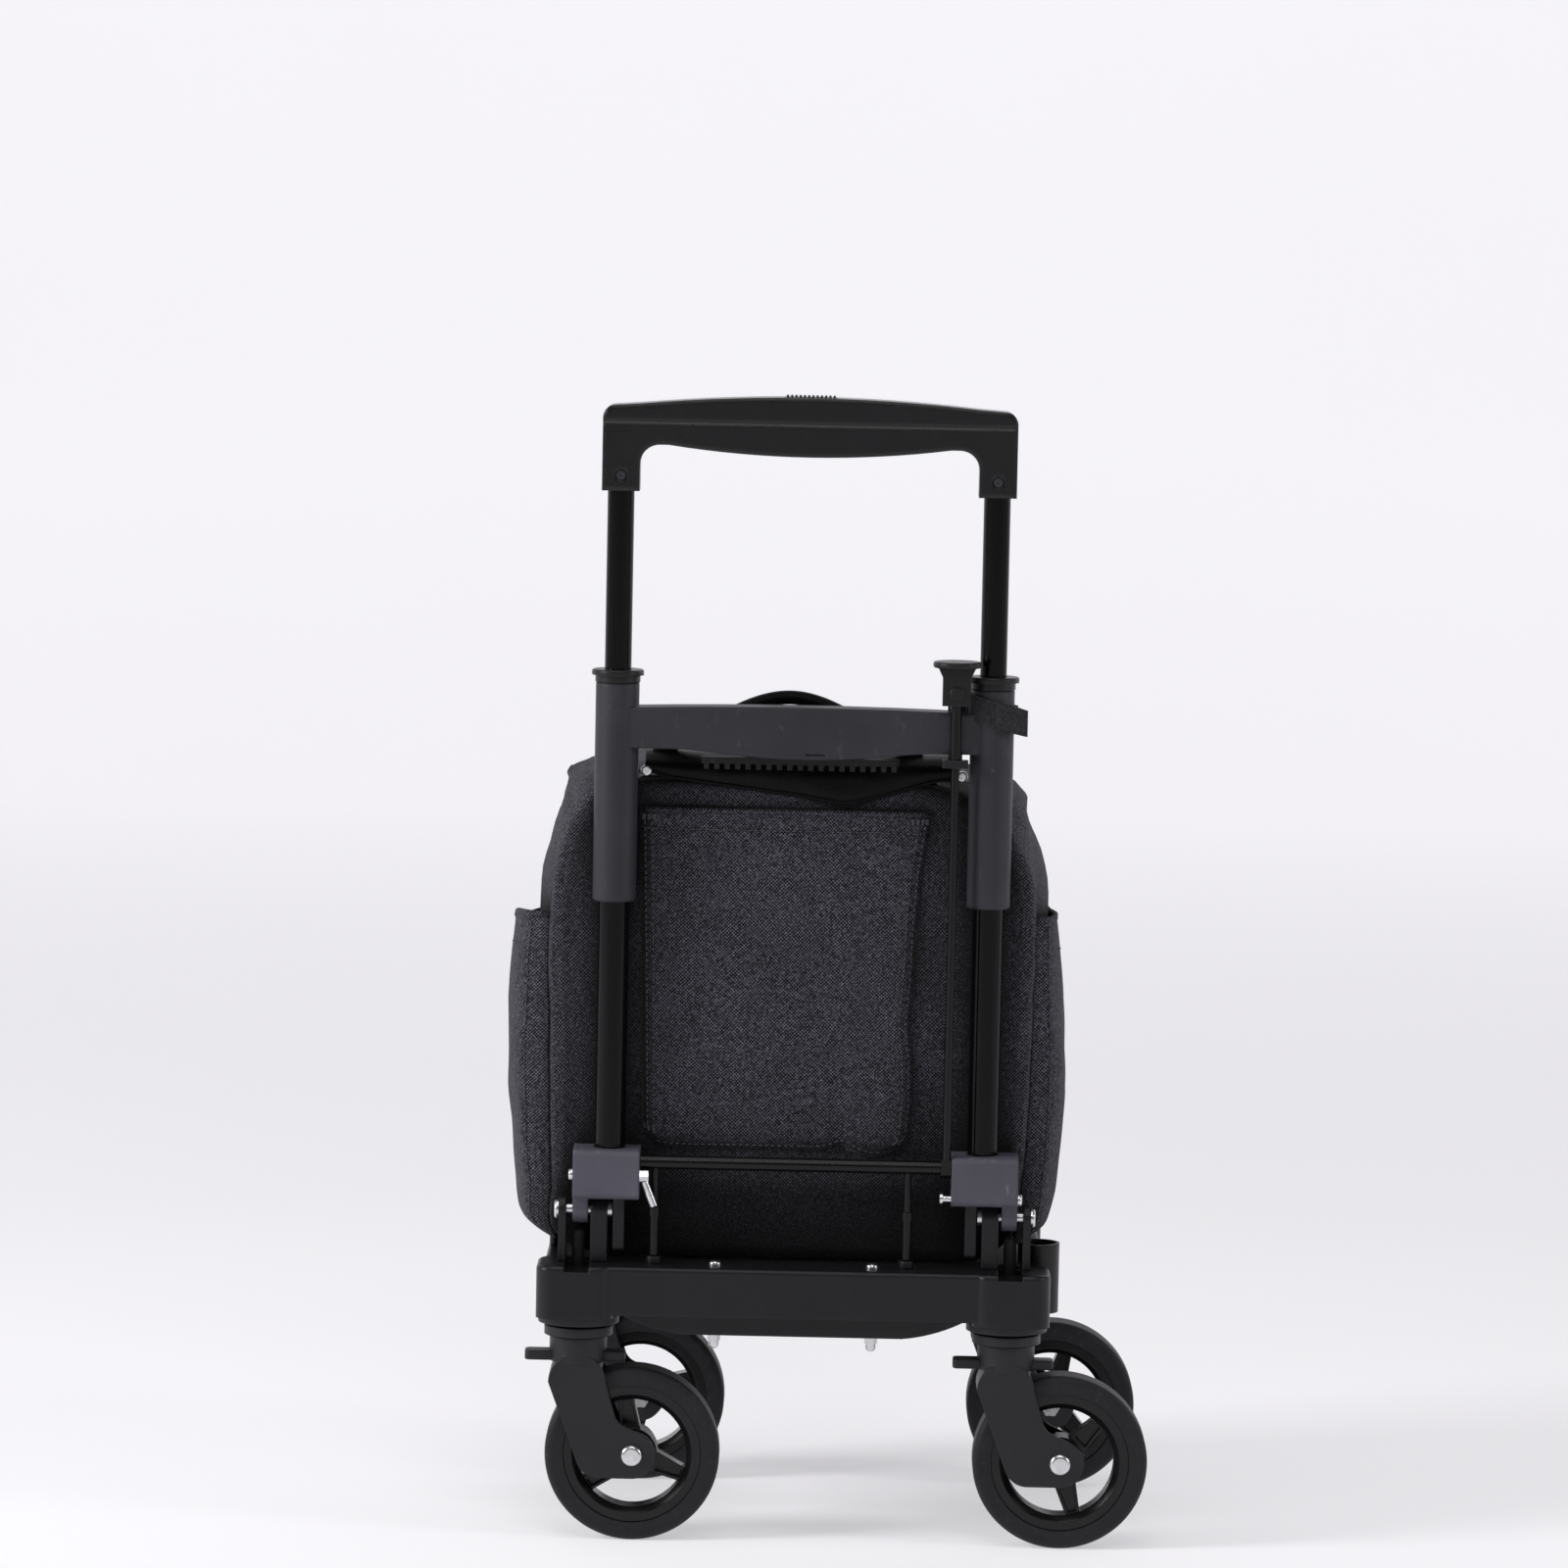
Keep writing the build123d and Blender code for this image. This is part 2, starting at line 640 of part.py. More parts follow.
def make_grip_frame():
    """H-shaped moulding: a sleeve on each post and the crossbar between them."""
    end_top = 597.5
    end_bottom = 569.0
    with BuildPart() as grip:
        with BuildSketch(level(0, PIVOT_Y, SLEEVE_BOTTOM_Z)):
            with Locations((-POST_X, 0), (POST_X, 0)):
                Circle(SLEEVE_R)
        extrude(amount=SLEEVE_TOP_Z - SLEEVE_BOTTOM_Z)
        chamfer(grip.edges().filter_by(GeomType.CIRCLE), 1)
        with BuildSketch(facing_user(0, CROSSBAR_FRONT_Y + CROSSBAR_T, 0)):
            with BuildLine():
                ThreePointArc((-POST_X, end_top), (0, CROSSBAR_TOP_Z), (POST_X, end_top))
                Line((POST_X, end_top), (POST_X, end_bottom))
                Line((POST_X, end_bottom), (95, end_bottom))
                Spline(
                    (95, end_bottom),
                    (50, end_bottom - 3.6),
                    (0, CROSSBAR_BOTTOM_Z),
                    (-50, end_bottom - 3.6),
                    (-95, end_bottom),
                    tangents=((-1, 0), (-1, 0)),
                )
                Line((-95, end_bottom), (-POST_X, end_bottom))
                Line((-POST_X, end_bottom), (-POST_X, end_top))
            make_face()
        extrude(amount=CROSSBAR_T)
        # pull-tab slit low on the user's face of the crossbar
        with BuildSketch(facing_user(8, CROSSBAR_FRONT_Y + 1.2, 566.5)):
            RectangleRounded(14, 1.6, 0.7)
        extrude(amount=3, mode=Mode.SUBTRACT)
        with BuildSketch(level(0, PIVOT_Y, SLEEVE_BOTTOM_Z - 1)):
            with Locations((-POST_X, 0), (POST_X, 0)):
                Circle(POST_R)
        extrude(amount=SLEEVE_TOP_Z - SLEEVE_BOTTOM_Z + 2, mode=Mode.SUBTRACT)
    return grip.part


def make_finger_grip():
    pitch = 7.4
    rib_count = 19
    with BuildPart() as ribs:
        with BuildSketch(level(-2.5, -107, 558.5)):
            RectangleRounded(rib_count * pitch, 13, 3)
        extrude(amount=CROSSBAR_BOTTOM_Z - 0.1 - 558.5)
        with BuildSketch(level(-2.5, -107, 554.5)):
            with GridLocations(pitch, 1, rib_count, 1):
                Rectangle(3.6, 13)
        extrude(amount=4)
    return ribs.part


def make_post_collars():
    with BuildPart() as collars:
        for side in SIDES:
            with BuildSketch(level(side * POST_X, PIVOT_Y, SLEEVE_TOP_Z)):
                Circle(16)
            extrude(amount=COLLAR_TOP_Z - 4 - SLEEVE_TOP_Z)
            with BuildSketch(level(side * POST_X, PIVOT_Y, COLLAR_TOP_Z - 4)):
                Circle(18.5)
            extrude(amount=4)
        fillet(collars.edges().group_by(Axis.Z)[-1], 1.5)
        with BuildSketch(level(0, PIVOT_Y, SLEEVE_TOP_Z - 1)):
            with Locations((-POST_X, 0), (POST_X, 0)):
                Circle(POST_BORE_R)
        extrude(amount=20, mode=Mode.SUBTRACT)
    return collars.part


def make_umbrella_strap():
    """Webbing round the right sleeve, lower on its outer side, with its folded end outside."""
    thick = 2.0
    band = 22.0
    tilt = (0.30, 0, 0.954)
    middle = (MID_X + POST_X, PIVOT_Y, 597)
    with BuildPart() as strap:
        with BuildSketch(level(POST_X, PIVOT_Y, 570)):
            Circle(SLEEVE_R + 0.2 + thick)
            Circle(SLEEVE_R + 0.2, mode=Mode.SUBTRACT)
        extrude(amount=47)
        with BuildSketch(level(POST_X + SLEEVE_R + 5, PIVOT_Y - 6, 570)):
            Rectangle(9, 3)
        extrude(amount=47)
        split(bisect_by=Plane(origin=middle, z_dir=tilt).offset(band / 2), keep=Keep.BOTTOM)
        split(bisect_by=Plane(origin=middle, z_dir=tilt).offset(-band / 2), keep=Keep.TOP)
        # the crossbar passes through the loop's inner side
        with BuildSketch(level(POST_X - 20, PIVOT_Y, 560)):
            Rectangle(30, CROSSBAR_T + 4.5)
        extrude(amount=38.5, mode=Mode.SUBTRACT)
    return strap.part


# ---------------------------------------------------------------- fold lock
def make_rod_guide():
    with BuildPart() as guide:
        with BuildSketch(level(LOCK_X, LOCK_ROD_Y, 560)):
            RectangleRounded(18.5, 10, 2)
        extrude(amount=5.5)
        # arm back to the underside of the crossbar
        with BuildSketch(level(LOCK_X, -117.5, 560)):
            Rectangle(10, 11)
        extrude(amount=9)
        with BuildSketch(level(LOCK_X, LOCK_ROD_Y, 559)):
            Circle(3.1)
        extrude(amount=20, mode=Mode.SUBTRACT)
    return guide.part


def make_pull_knob():
    with BuildPart() as knob:
        with BuildSketch(level(LOCK_X, LOCK_ROD_Y, 631)):
            Circle(17)
        extrude(amount=4.5)
        fillet(knob.edges().filter_by(GeomType.CIRCLE), 1.6)
        with BuildSketch(facing_user(LOCK_X, LOCK_ROD_Y + 4.5, 0)):
            with BuildLine():
                Polyline((-10, 604), (10, 604), (10, 624), (13.5, 631.5), (-13.5, 631.5), (-10, 624), close=True)
            make_face()
        extrude(amount=9)
        # screw that clamps the rod, seen on the user's face
        with BuildSketch(facing_user(LOCK_X, LOCK_ROD_Y - 4, 613)):
            Circle(4.5)
        extrude(amount=2.5)
        with BuildSketch(level(LOCK_X, LOCK_ROD_Y, 603)):
            Circle(4)
        extrude(amount=12, mode=Mode.SUBTRACT)
    return knob.part


def make_pull_rod():
    rod_r = 3.0
    with BuildPart() as rod:
        with BuildSketch(level(LOCK_X, LOCK_ROD_Y, 566.5)):
            Circle(4)
        extrude(amount=615 - 566.5)
        with BuildSketch(level(LOCK_X, LOCK_ROD_Y, CROSS_ROD_Z)):
            Circle(rod_r)
        extrude(amount=566.5 - CROSS_ROD_Z)
        # eye that sits round the cross rod
        with BuildSketch(facing_right(LOCK_X - 3.6, CROSS_ROD_Y, CROSS_ROD_Z)):
            Circle(CROSS_ROD_R + 2.5)
            with Locations((-7.5, 2.5)):
                Rectangle(8, 9)
        extrude(amount=7.2)
        with BuildSketch(facing_right(LOCK_X - 5, CROSS_ROD_Y, CROSS_ROD_Z)):
            Circle(CROSS_ROD_R)
        extrude(amount=10, mode=Mode.SUBTRACT)
    return rod.part


def make_cross_rod():
    half = BRACKET_IN_X - 0.4
    with BuildPart() as rod:
        with BuildSketch(facing_right(-half, CROSS_ROD_Y, CROSS_ROD_Z)):
            Circle(CROSS_ROD_R)
        extrude(amount=2 * half)
        with BuildSketch(facing_right(-half - 6, CROSS_ROD_Y, CROSS_ROD_Z)):
            Circle(CROSS_PIN_R)
        extrude(amount=2 * half + 12)
        with BuildSketch(level(0, CROSS_ROD_Y, CROSS_ROD_Z - 12)):
            with Locations(*[(x, 0) for x in PLUNGER_X]):
                Circle(2.5)
        extrude(amount=12, mode=Mode.SUBTRACT)
    return rod.part


def make_plungers():
    collar_z = 239.5
    with BuildPart() as plungers:
        for x in PLUNGER_X:
            with BuildSketch(level(x, CROSS_ROD_Y, collar_z)):
                Circle(2.5)
            extrude(amount=CROSS_ROD_Z - collar_z)
            with BuildSketch(level(x, CROSS_ROD_Y, 206.7)):
                Circle(3.2)
            extrude(amount=collar_z - 206.7)
            with BuildSketch(level(x, CROSS_ROD_Y, collar_z - 5)):
                Circle(4)
            extrude(amount=6)
    return plungers.part


# ---------------------------------------------------------------- telescopic handle
def make_handle_tubes():
    with BuildPart() as tubes:
        with BuildSketch(level(0, PIVOT_Y, TUBE_BOTTOM_Z)):
            with Locations((-POST_X, 0), (POST_X, 0)):
                Circle(TUBE_R)
                Circle(TUBE_BORE_R, mode=Mode.SUBTRACT)
        extrude(amount=TUBE_TOP_Z - TUBE_BOTTOM_Z)
    return tubes.part


def make_handle_top():
    shoulder = 9.0
    with BuildPart() as top:
        with BuildSketch(facing_user(0, PIVOT_Y + HANDLE_HALF_Y, 0)):
            with BuildLine():
                Line((-HANDLE_HALF_X, HANDLE_PART_Z), (HANDLE_HALF_X, HANDLE_PART_Z))
                FilletPolyline(
                    (HANDLE_HALF_X, HANDLE_PART_Z),
                    (HANDLE_HALF_X, HANDLE_END_Z),
                    (HANDLE_HALF_X - 26, HANDLE_END_Z + 1.8),
                    radius=shoulder,
                )
                ThreePointArc(
                    (HANDLE_HALF_X - 26, HANDLE_END_Z + 1.8),
                    (0, HANDLE_TOP_Z),
                    (26 - HANDLE_HALF_X, HANDLE_END_Z + 1.8),
                )
                FilletPolyline(
                    (26 - HANDLE_HALF_X, HANDLE_END_Z + 1.8),
                    (-HANDLE_HALF_X, HANDLE_END_Z),
                    (-HANDLE_HALF_X, HANDLE_PART_Z),
                    radius=shoulder,
                )
            make_face()
        extrude(amount=2 * HANDLE_HALF_Y)
        with BuildSketch(level(0, PIVOT_Y, HANDLE_PART_Z)):
            Rectangle(2 * (HANDLE_HALF_X - 7), 2 * (HANDLE_HALF_Y - HANDLE_WALL))
        extrude(amount=7.5, mode=Mode.SUBTRACT)
        # button window
        with BuildSketch(level(0, PIVOT_Y, HANDLE_PART_Z)):
            RectangleRounded(2 * BUTTON_HALF_X, 2 * BUTTON_HALF_Y, 3)
        extrude(amount=30, mode=Mode.SUBTRACT)
    return top.part


def make_handle_bottom():
    """Lower half of the handle with the two sockets that hold the inner tubes."""
    beam_end_z = 784.0
    beam_middle_z = 777.0
    inner_x = POST_X - SOCKET_HALF_X
    with BuildPart() as bottom:
        with BuildSketch(facing_user(0, PIVOT_Y + HANDLE_HALF_Y, 0)):
            with BuildLine():
                Line((-HANDLE_HALF_X, HANDLE_PART_Z), (-HANDLE_HALF_X, SOCKET_BOTTOM_Z))
                Line((-HANDLE_HALF_X, SOCKET_BOTTOM_Z), (-inner_x, SOCKET_BOTTOM_Z))
                FilletPolyline(
                    (-inner_x, SOCKET_BOTTOM_Z),
                    (-inner_x, beam_end_z),
                    (20 - inner_x, beam_end_z),
                    radius=14,
                )
                ThreePointArc((20 - inner_x, beam_end_z), (0, beam_middle_z), (inner_x - 20, beam_end_z))
                FilletPolyline(
                    (inner_x - 20, beam_end_z),
                    (inner_x, beam_end_z),
                    (inner_x, SOCKET_BOTTOM_Z),
                    radius=14,
                )
                Line((inner_x, SOCKET_BOTTOM_Z), (HANDLE_HALF_X, SOCKET_BOTTOM_Z))
                Line((HANDLE_HALF_X, SOCKET_BOTTOM_Z), (HANDLE_HALF_X, HANDLE_PART_Z))
                Line((HANDLE_HALF_X, HANDLE_PART_Z), (-HANDLE_HALF_X, HANDLE_PART_Z))
            make_face()
        extrude(amount=2 * HANDLE_HALF_Y)
        with BuildSketch(level(0, PIVOT_Y, SOCKET_BOTTOM_Z - 1)):
            with Locations((-POST_X, 0), (POST_X, 0)):
                Circle(TUBE_R)
        extrude(amount=TUBE_TOP_Z - SOCKET_BOTTOM_Z + 1, mode=Mode.SUBTRACT)
        # channel for the release bar
        with BuildSketch(level(0, PIVOT_Y, 790)):
            Rectangle(2 * (HANDLE_HALF_X - 7), 12)
        extrude(amount=20, mode=Mode.SUBTRACT)
        for side in SIDES:
            with BuildSketch(facing_user(side * POST_X, PIVOT_Y - TUBE_R, 762)):
                Circle(3.2)
            extrude(amount=10, mode=Mode.SUBTRACT)
    return bottom.part


def make_handle_screws():
    with BuildPart() as screws:
        for side in SIDES:
            with BuildSketch(facing_user(side * POST_X, PIVOT_Y - TUBE_R, 762)):
                Circle(3.1)
            extrude(amount=HANDLE_HALF_Y - TUBE_R + 0.6)
            with BuildSketch(facing_user(side * POST_X, PIVOT_Y - HANDLE_HALF_Y + 1, 762)):
                RegularPolygon(1.6, 6)
            extrude(amount=4, mode=Mode.SUBTRACT)
    return screws.part


def make_release_button():
    """Ribbed pad on the crown of the handle; it presses the release bar below it."""
    rib_pitch = 3.0
    with BuildPart() as button:
        with BuildSketch(level(0, PIVOT_Y, 805)):
            RectangleRounded(2 * BUTTON_HALF_X - 0.6, 2 * BUTTON_HALF_Y - 0.6, 2.7)
        extrude(amount=HANDLE_TOP_Z - 0.4 - 805)
        with BuildSketch(level(0, PIVOT_Y, HANDLE_TOP_Z - 0.4)):
            with GridLocations(rib_pitch, 1, 12, 1):
                Rectangle(1.6, 2 * BUTTON_HALF_Y - 2.5)
        extrude(amount=1.8)
        with BuildSketch(level(0, PIVOT_Y, 801)):
            Rectangle(2 * POST_X + 6, 8)
        extrude(amount=4)
    return button.part


def make_release_rods():
    with BuildPart() as rods:
        with BuildSketch(level(0, PIVOT_Y, TUBE_BOTTOM_Z + 6)):
            with Locations((-POST_X, 0), (POST_X, 0)):
                Circle(3)
        extrude(amount=801 - TUBE_BOTTOM_Z - 6)
        with BuildSketch(level(0, PIVOT_Y, TUBE_BOTTOM_Z + 6)):
            with Locations((-POST_X, 0), (POST_X, 0)):
                Circle(6.5)
        extrude(amount=14)
    return rods.part


# ---------------------------------------------------------------- soft carrier
def bag_outline(inset, bottom_z, top_z):
    """Rear view of the bag: upright sides, wide round shoulders, small round feet."""
    with BuildSketch(Plane.XY, mode=Mode.PRIVATE) as outline:
        with Locations((0, (bottom_z + top_z) / 2)):
            Rectangle(2 * (BAG_HALF_X - inset), top_z - bottom_z)
        fillet(outline.vertices().group_by(Axis.Y)[-1], BAG_SHOULDER_R - inset)
        fillet(outline.vertices().group_by(Axis.Y)[0], BAG_FOOT_R - inset)
    return outline.sketch


def bag_body(inset):
    """The bag's closed outer form, or the room inside it when it is inset by the wall."""
    front_round = 22.0
    rear_round = 8.0
    with BuildPart() as body:
        with BuildSketch(facing_user(BAG_X, BAG_FRONT_Y - inset, 0)):
            add(bag_outline(inset, BAG_BOTTOM_Z + inset, BAG_TOP_Z - inset))
        extrude(amount=BAG_FRONT_Y - BAG_REAR_Y - 2 * inset)
        fillet(body.faces().sort_by(Axis.Y)[-1].edges(), front_round - inset)
        fillet(body.faces().sort_by(Axis.Y)[0].edges(), rear_round - inset)
    return body.part


def make_bag_shell():
    outer = bag_body(0)
    room = bag_body(BAG_WALL)
    with BuildPart() as bag:
        add(outer)
        add(room, mode=Mode.SUBTRACT)
        lid_y = (LID_REAR_Y + LID_FRONT_Y) / 2
        with BuildSketch(level(BAG_X, lid_y, BAG_TOP_Z - 30)):
            RectangleRounded(2 * LID_HALF_X, LID_FRONT_Y - LID_REAR_Y, 20)
        extrude(amount=60, mode=Mode.SUBTRACT)
        with BuildSketch(facing_user(0, BAG_REAR_Y + 10, 551)):
            with Locations((-112, 0), (113, 0)):
                Circle(2.1)
        extrude(amount=20, mode=Mode.SUBTRACT)
    return bag.part


def make_bag_lid():
    """Top panel that fills the opening and turns up about its far edge."""
    lid_y = (LID_REAR_Y + LID_FRONT_Y) / 2
    outer = bag_body(0)
    room = bag_body(BAG_WALL)
    with BuildPart() as lid:
        with BuildSketch(level(BAG_X, lid_y, BAG_TOP_Z - 20)):
            RectangleRounded(
                2 * (LID_HALF_X - LID_GAP),
                LID_FRONT_Y - LID_REAR_Y - 2 * LID_GAP,
                20 - LID_GAP,
            )
        extrude(amount=40)
        add(outer, mode=Mode.INTERSECT)
        add(room, mode=Mode.SUBTRACT)
    return lid.part


def make_floor_pad():
    with BuildPart() as pad:
        with BuildSketch(level(BAG_X, (BAG_REAR_Y + BAG_FRONT_Y) / 2, BAG_BOTTOM_Z + BAG_WALL + 0.5)):
            RectangleRounded(274, 200, 20)
        extrude(amount=9)
        fillet(pad.edges().group_by(Axis.Z)[-1], 3)
    return pad.part


def make_carry_handle():
    """Rolled handle that arches from two sewn tabs on the rear strip of the bag's top."""
    left, right, middle = -105.0, 75.0, -12.0
    rope_r = 3.2
    y = -78.0
    tab_z = BAG_TOP_Z + 0.3
    with BuildPart() as handle:
        with BuildLine(facing_user(0, y, 0)):
            arch = ThreePointArc((left, tab_z + 2.5), (middle, 600.0), (right, tab_z + 2.5))
        with BuildSketch(Plane(origin=arch @ 0, z_dir=arch % 0)):
            Circle(rope_r)
        sweep()
        with BuildSketch(level(0, y, tab_z)):
            with Locations((left - 2, 0), (right + 2, 0)):
                RectangleRounded(20, 14, 3)
        extrude(amount=4)
        with BuildSketch(level(0, y, tab_z - 10)):
            Rectangle(300, 60)
        extrude(amount=10, mode=Mode.SUBTRACT)
    return handle.part


def pocket_profile(inset):
    """Section of a side pocket: flat against the bag, bulging outwards."""
    flat = BAG_HALF_X + 0.4
    with BuildSketch(Plane.XY, mode=Mode.PRIVATE) as profile:
        with BuildLine():
            Line((flat, 222 + inset), (flat, POCKET_TOP_Z))
            Line((flat, POCKET_TOP_Z), (flat + 14 - inset, POCKET_TOP_Z))
            ThreePointArc(
                (flat + 14 - inset, POCKET_TOP_Z),
                (flat + POCKET_BULGE - inset, 345),
                (flat + 8 - inset, 245),
            )
            Line((flat + 8 - inset, 245), (flat, 222 + inset))
        make_face()
    return profile.sketch


def make_side_pockets():
    wall = 3.0
    rear_y, front_y = -74.0, 116.0
    with BuildPart() as pockets:
        with BuildSketch(facing_user(BAG_X, front_y, 0)):
            add(pocket_profile(0))
            mirror(about=Plane.YZ)
        extrude(amount=front_y - rear_y)
        with BuildSketch(facing_user(BAG_X, front_y - wall, 0)):
            add(pocket_profile(wall))
            mirror(about=Plane.YZ)
        extrude(amount=front_y - rear_y - 2 * wall, mode=Mode.SUBTRACT)
    return pockets.part


def make_rear_pocket():
    """Flat patch pocket between the posts, open along its top edge."""
    left, right = -115.0, 88.0
    bottom, top = 283.0, 521.0
    proud = 9.0
    wall = 2.5
    middle = ((left + right) / 2, (bottom + top) / 2)
    with BuildPart() as pocket:
        with BuildSketch(facing_user(0, BAG_REAR_Y - 0.3, 0)):
            with Locations(middle):
                Rectangle(right - left, top - bottom)
        extrude(amount=proud)
        fillet(pocket.faces().sort_by(Axis.Y)[0].edges(), 2)
        with BuildSketch(facing_user(0, BAG_REAR_Y - 0.3, 0)):
            with Locations((middle[0], middle[1] + 10)):
                Rectangle(right - left - 2 * wall, top - bottom + 20 - 2 * wall)
        extrude(amount=proud - wall, mode=Mode.SUBTRACT)
    return pocket.part


def make_top_flap():
    """Loose black flap over the bag's rear top edge, dipping right of the middle."""
    with BuildPart() as flap:
        with BuildSketch(facing_user(0, BAG_REAR_Y - 0.3, 0)):
            with BuildLine():
                Polyline(
                    (FLAP_LEFT_X + 2, 556.5),
                    (FLAP_RIGHT_X + 9, 556.5),
                    (FLAP_RIGHT_X + 9, 546),
                    (60, 540),
                    (27, 528),
                    (-20, 533),
                    (FLAP_LEFT_X + 2, 546),
                    close=True,
                )
            make_face()
        extrude(amount=2.5)
        with BuildSketch(facing_user(0, BAG_REAR_Y + 1, 551)):
            with Locations((-112, 0), (113, 0)):
                Circle(2.1)
        extrude(amount=10, mode=Mode.SUBTRACT)
    return flap.part


def make_bag_screws():
    face_y = BAG_REAR_Y - 2.8
    with BuildPart() as screws:
        for x in (-112, 113):
            with BuildSketch(facing_user(x, BAG_REAR_Y + BAG_WALL, 551)):
                Circle(2)
            extrude(amount=BAG_WALL + 2.8)
            with BuildSketch(facing_user(x, face_y, 551)):
                Circle(3.9)
            extrude(amount=2.6)
        fillet(screws.edges().group_by(Axis.Y)[0], 1.5)
    return screws.part


# ---------------------------------------------------------------- write every node
os.makedirs("parts", exist_ok=True)

save(make_base_frame(), "base_frame")
save(make_deck_lugs(), "deck_lugs")
save(make_tray_pan(), "tray_pan")
save(make_umbrella_cup(), "umbrella_cup")
save(make_deck_bolts(), "deck_bolts")
save(make_pivot_bolts(), "pivot_bolts")
save(make_fold_stops(), "fold_stops")
save(make_swivel_mounts(), "swivel_mounts")
save(make_caster_screws(), "caster_screws")
save(make_swivel_bearings(), "swivel_bearings")

for caster in CASTERS:
    save(make_fork(caster), f"fork_{caster}")
    save(make_lock_lever(caster), f"lock_lever_{caster}")
    save(make_axle_bolt(caster), f"axle_bolt_{caster}")
    save(make_rim(caster), f"rim_{caster}")
    save(make_tyre(caster), f"tyre_{caster}")

for side_name, post_side in (("left", -1), ("right", 1)):
    save(make_post(post_side), f"post_{side_name}")
    save(make_hinge_bracket(post_side), f"hinge_bracket_{side_name}")
save(make_bracket_bolts(), "bracket_bolts")
save(make_post_feet(), "post_feet")
save(make_grip_frame(), "grip_frame")
save(make_finger_grip(), "finger_grip")
save(make_post_collars(), "post_collars")
save(make_umbrella_strap(), "umbrella_strap")

save(make_rod_guide(), "rod_guide")
save(make_pull_knob(), "pull_knob")
save(make_pull_rod(), "pull_rod")
save(make_cross_rod(), "cross_rod")
save(make_plungers(), "plungers")

save(make_handle_tubes(), "handle_tubes")
save(make_handle_top(), "handle_top")
save(make_handle_bottom(), "handle_bottom")
save(make_handle_screws(), "handle_screws")
save(make_release_button(), "release_button")
save(make_release_rods(), "release_rods")

save(make_bag_shell(), "bag_shell")
save(make_bag_lid(), "bag_lid")
save(make_floor_pad(), "floor_pad")
save(make_carry_handle(), "carry_handle")
save(make_side_pockets(), "side_pockets")
save(make_rear_pocket(), "rear_pocket")
save(make_top_flap(), "top_flap")
save(make_bag_screws(), "bag_screws")
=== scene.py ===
import json
import math

import bmesh
import bpy
import numpy as np
from mathutils import Matrix, Vector, noise
from mathutils.bvhtree import BVHTree


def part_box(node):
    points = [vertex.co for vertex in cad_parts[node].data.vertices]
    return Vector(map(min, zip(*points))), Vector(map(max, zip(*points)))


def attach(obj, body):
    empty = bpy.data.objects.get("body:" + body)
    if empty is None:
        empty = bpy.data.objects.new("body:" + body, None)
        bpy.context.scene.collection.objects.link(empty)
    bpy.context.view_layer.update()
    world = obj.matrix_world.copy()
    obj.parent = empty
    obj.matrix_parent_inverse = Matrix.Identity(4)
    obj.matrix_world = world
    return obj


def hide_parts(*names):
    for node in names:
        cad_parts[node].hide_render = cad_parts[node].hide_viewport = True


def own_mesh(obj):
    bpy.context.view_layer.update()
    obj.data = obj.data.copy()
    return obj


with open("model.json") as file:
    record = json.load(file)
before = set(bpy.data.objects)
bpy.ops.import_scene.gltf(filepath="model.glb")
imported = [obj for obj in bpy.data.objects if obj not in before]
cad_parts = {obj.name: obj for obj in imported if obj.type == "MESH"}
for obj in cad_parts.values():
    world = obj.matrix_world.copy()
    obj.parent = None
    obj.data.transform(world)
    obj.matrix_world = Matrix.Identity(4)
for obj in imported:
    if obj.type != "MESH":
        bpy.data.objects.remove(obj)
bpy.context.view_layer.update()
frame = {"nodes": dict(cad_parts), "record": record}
nodes = frame["nodes"]

grip_lo, grip_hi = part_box("grip_frame")
bag_lo, bag_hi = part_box("bag_shell")
lid_lo, lid_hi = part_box("bag_lid")
pocket_lo, pocket_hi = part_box("rear_pocket")
side_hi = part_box("side_pockets")[1]
pad_lo, pad_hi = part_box("floor_pad")
handle_lo, handle_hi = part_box("carry_handle")
MID = (grip_lo.x + grip_hi.x) / 2
REAR_Y = bag_lo.y
FRONT_Y = bag_hi.y
POST_Y = (grip_lo.y + grip_hi.y) / 2


# ---------------------------------------------------------------- camera
def add_camera():
    data = bpy.data.cameras.new("camera")
    data.lens = 156.0
    data.sensor_width = 36.0
    data.clip_end = 50
    data.dof.use_dof = False
    camera = bpy.data.objects.new("camera", data)
    bpy.context.scene.collection.objects.link(camera)
    turn = Matrix.Rotation(math.radians(0.32), 4, "Z")
    tilt = Matrix.Rotation(math.radians(84.46), 4, "X")
    roll = Matrix.Rotation(math.radians(1.15), 4, "Z")
    camera.matrix_world = Matrix.Translation((-0.0098, -4.910, 1.010)) @ turn @ tilt @ roll
    bpy.context.scene.camera = camera


add_camera()


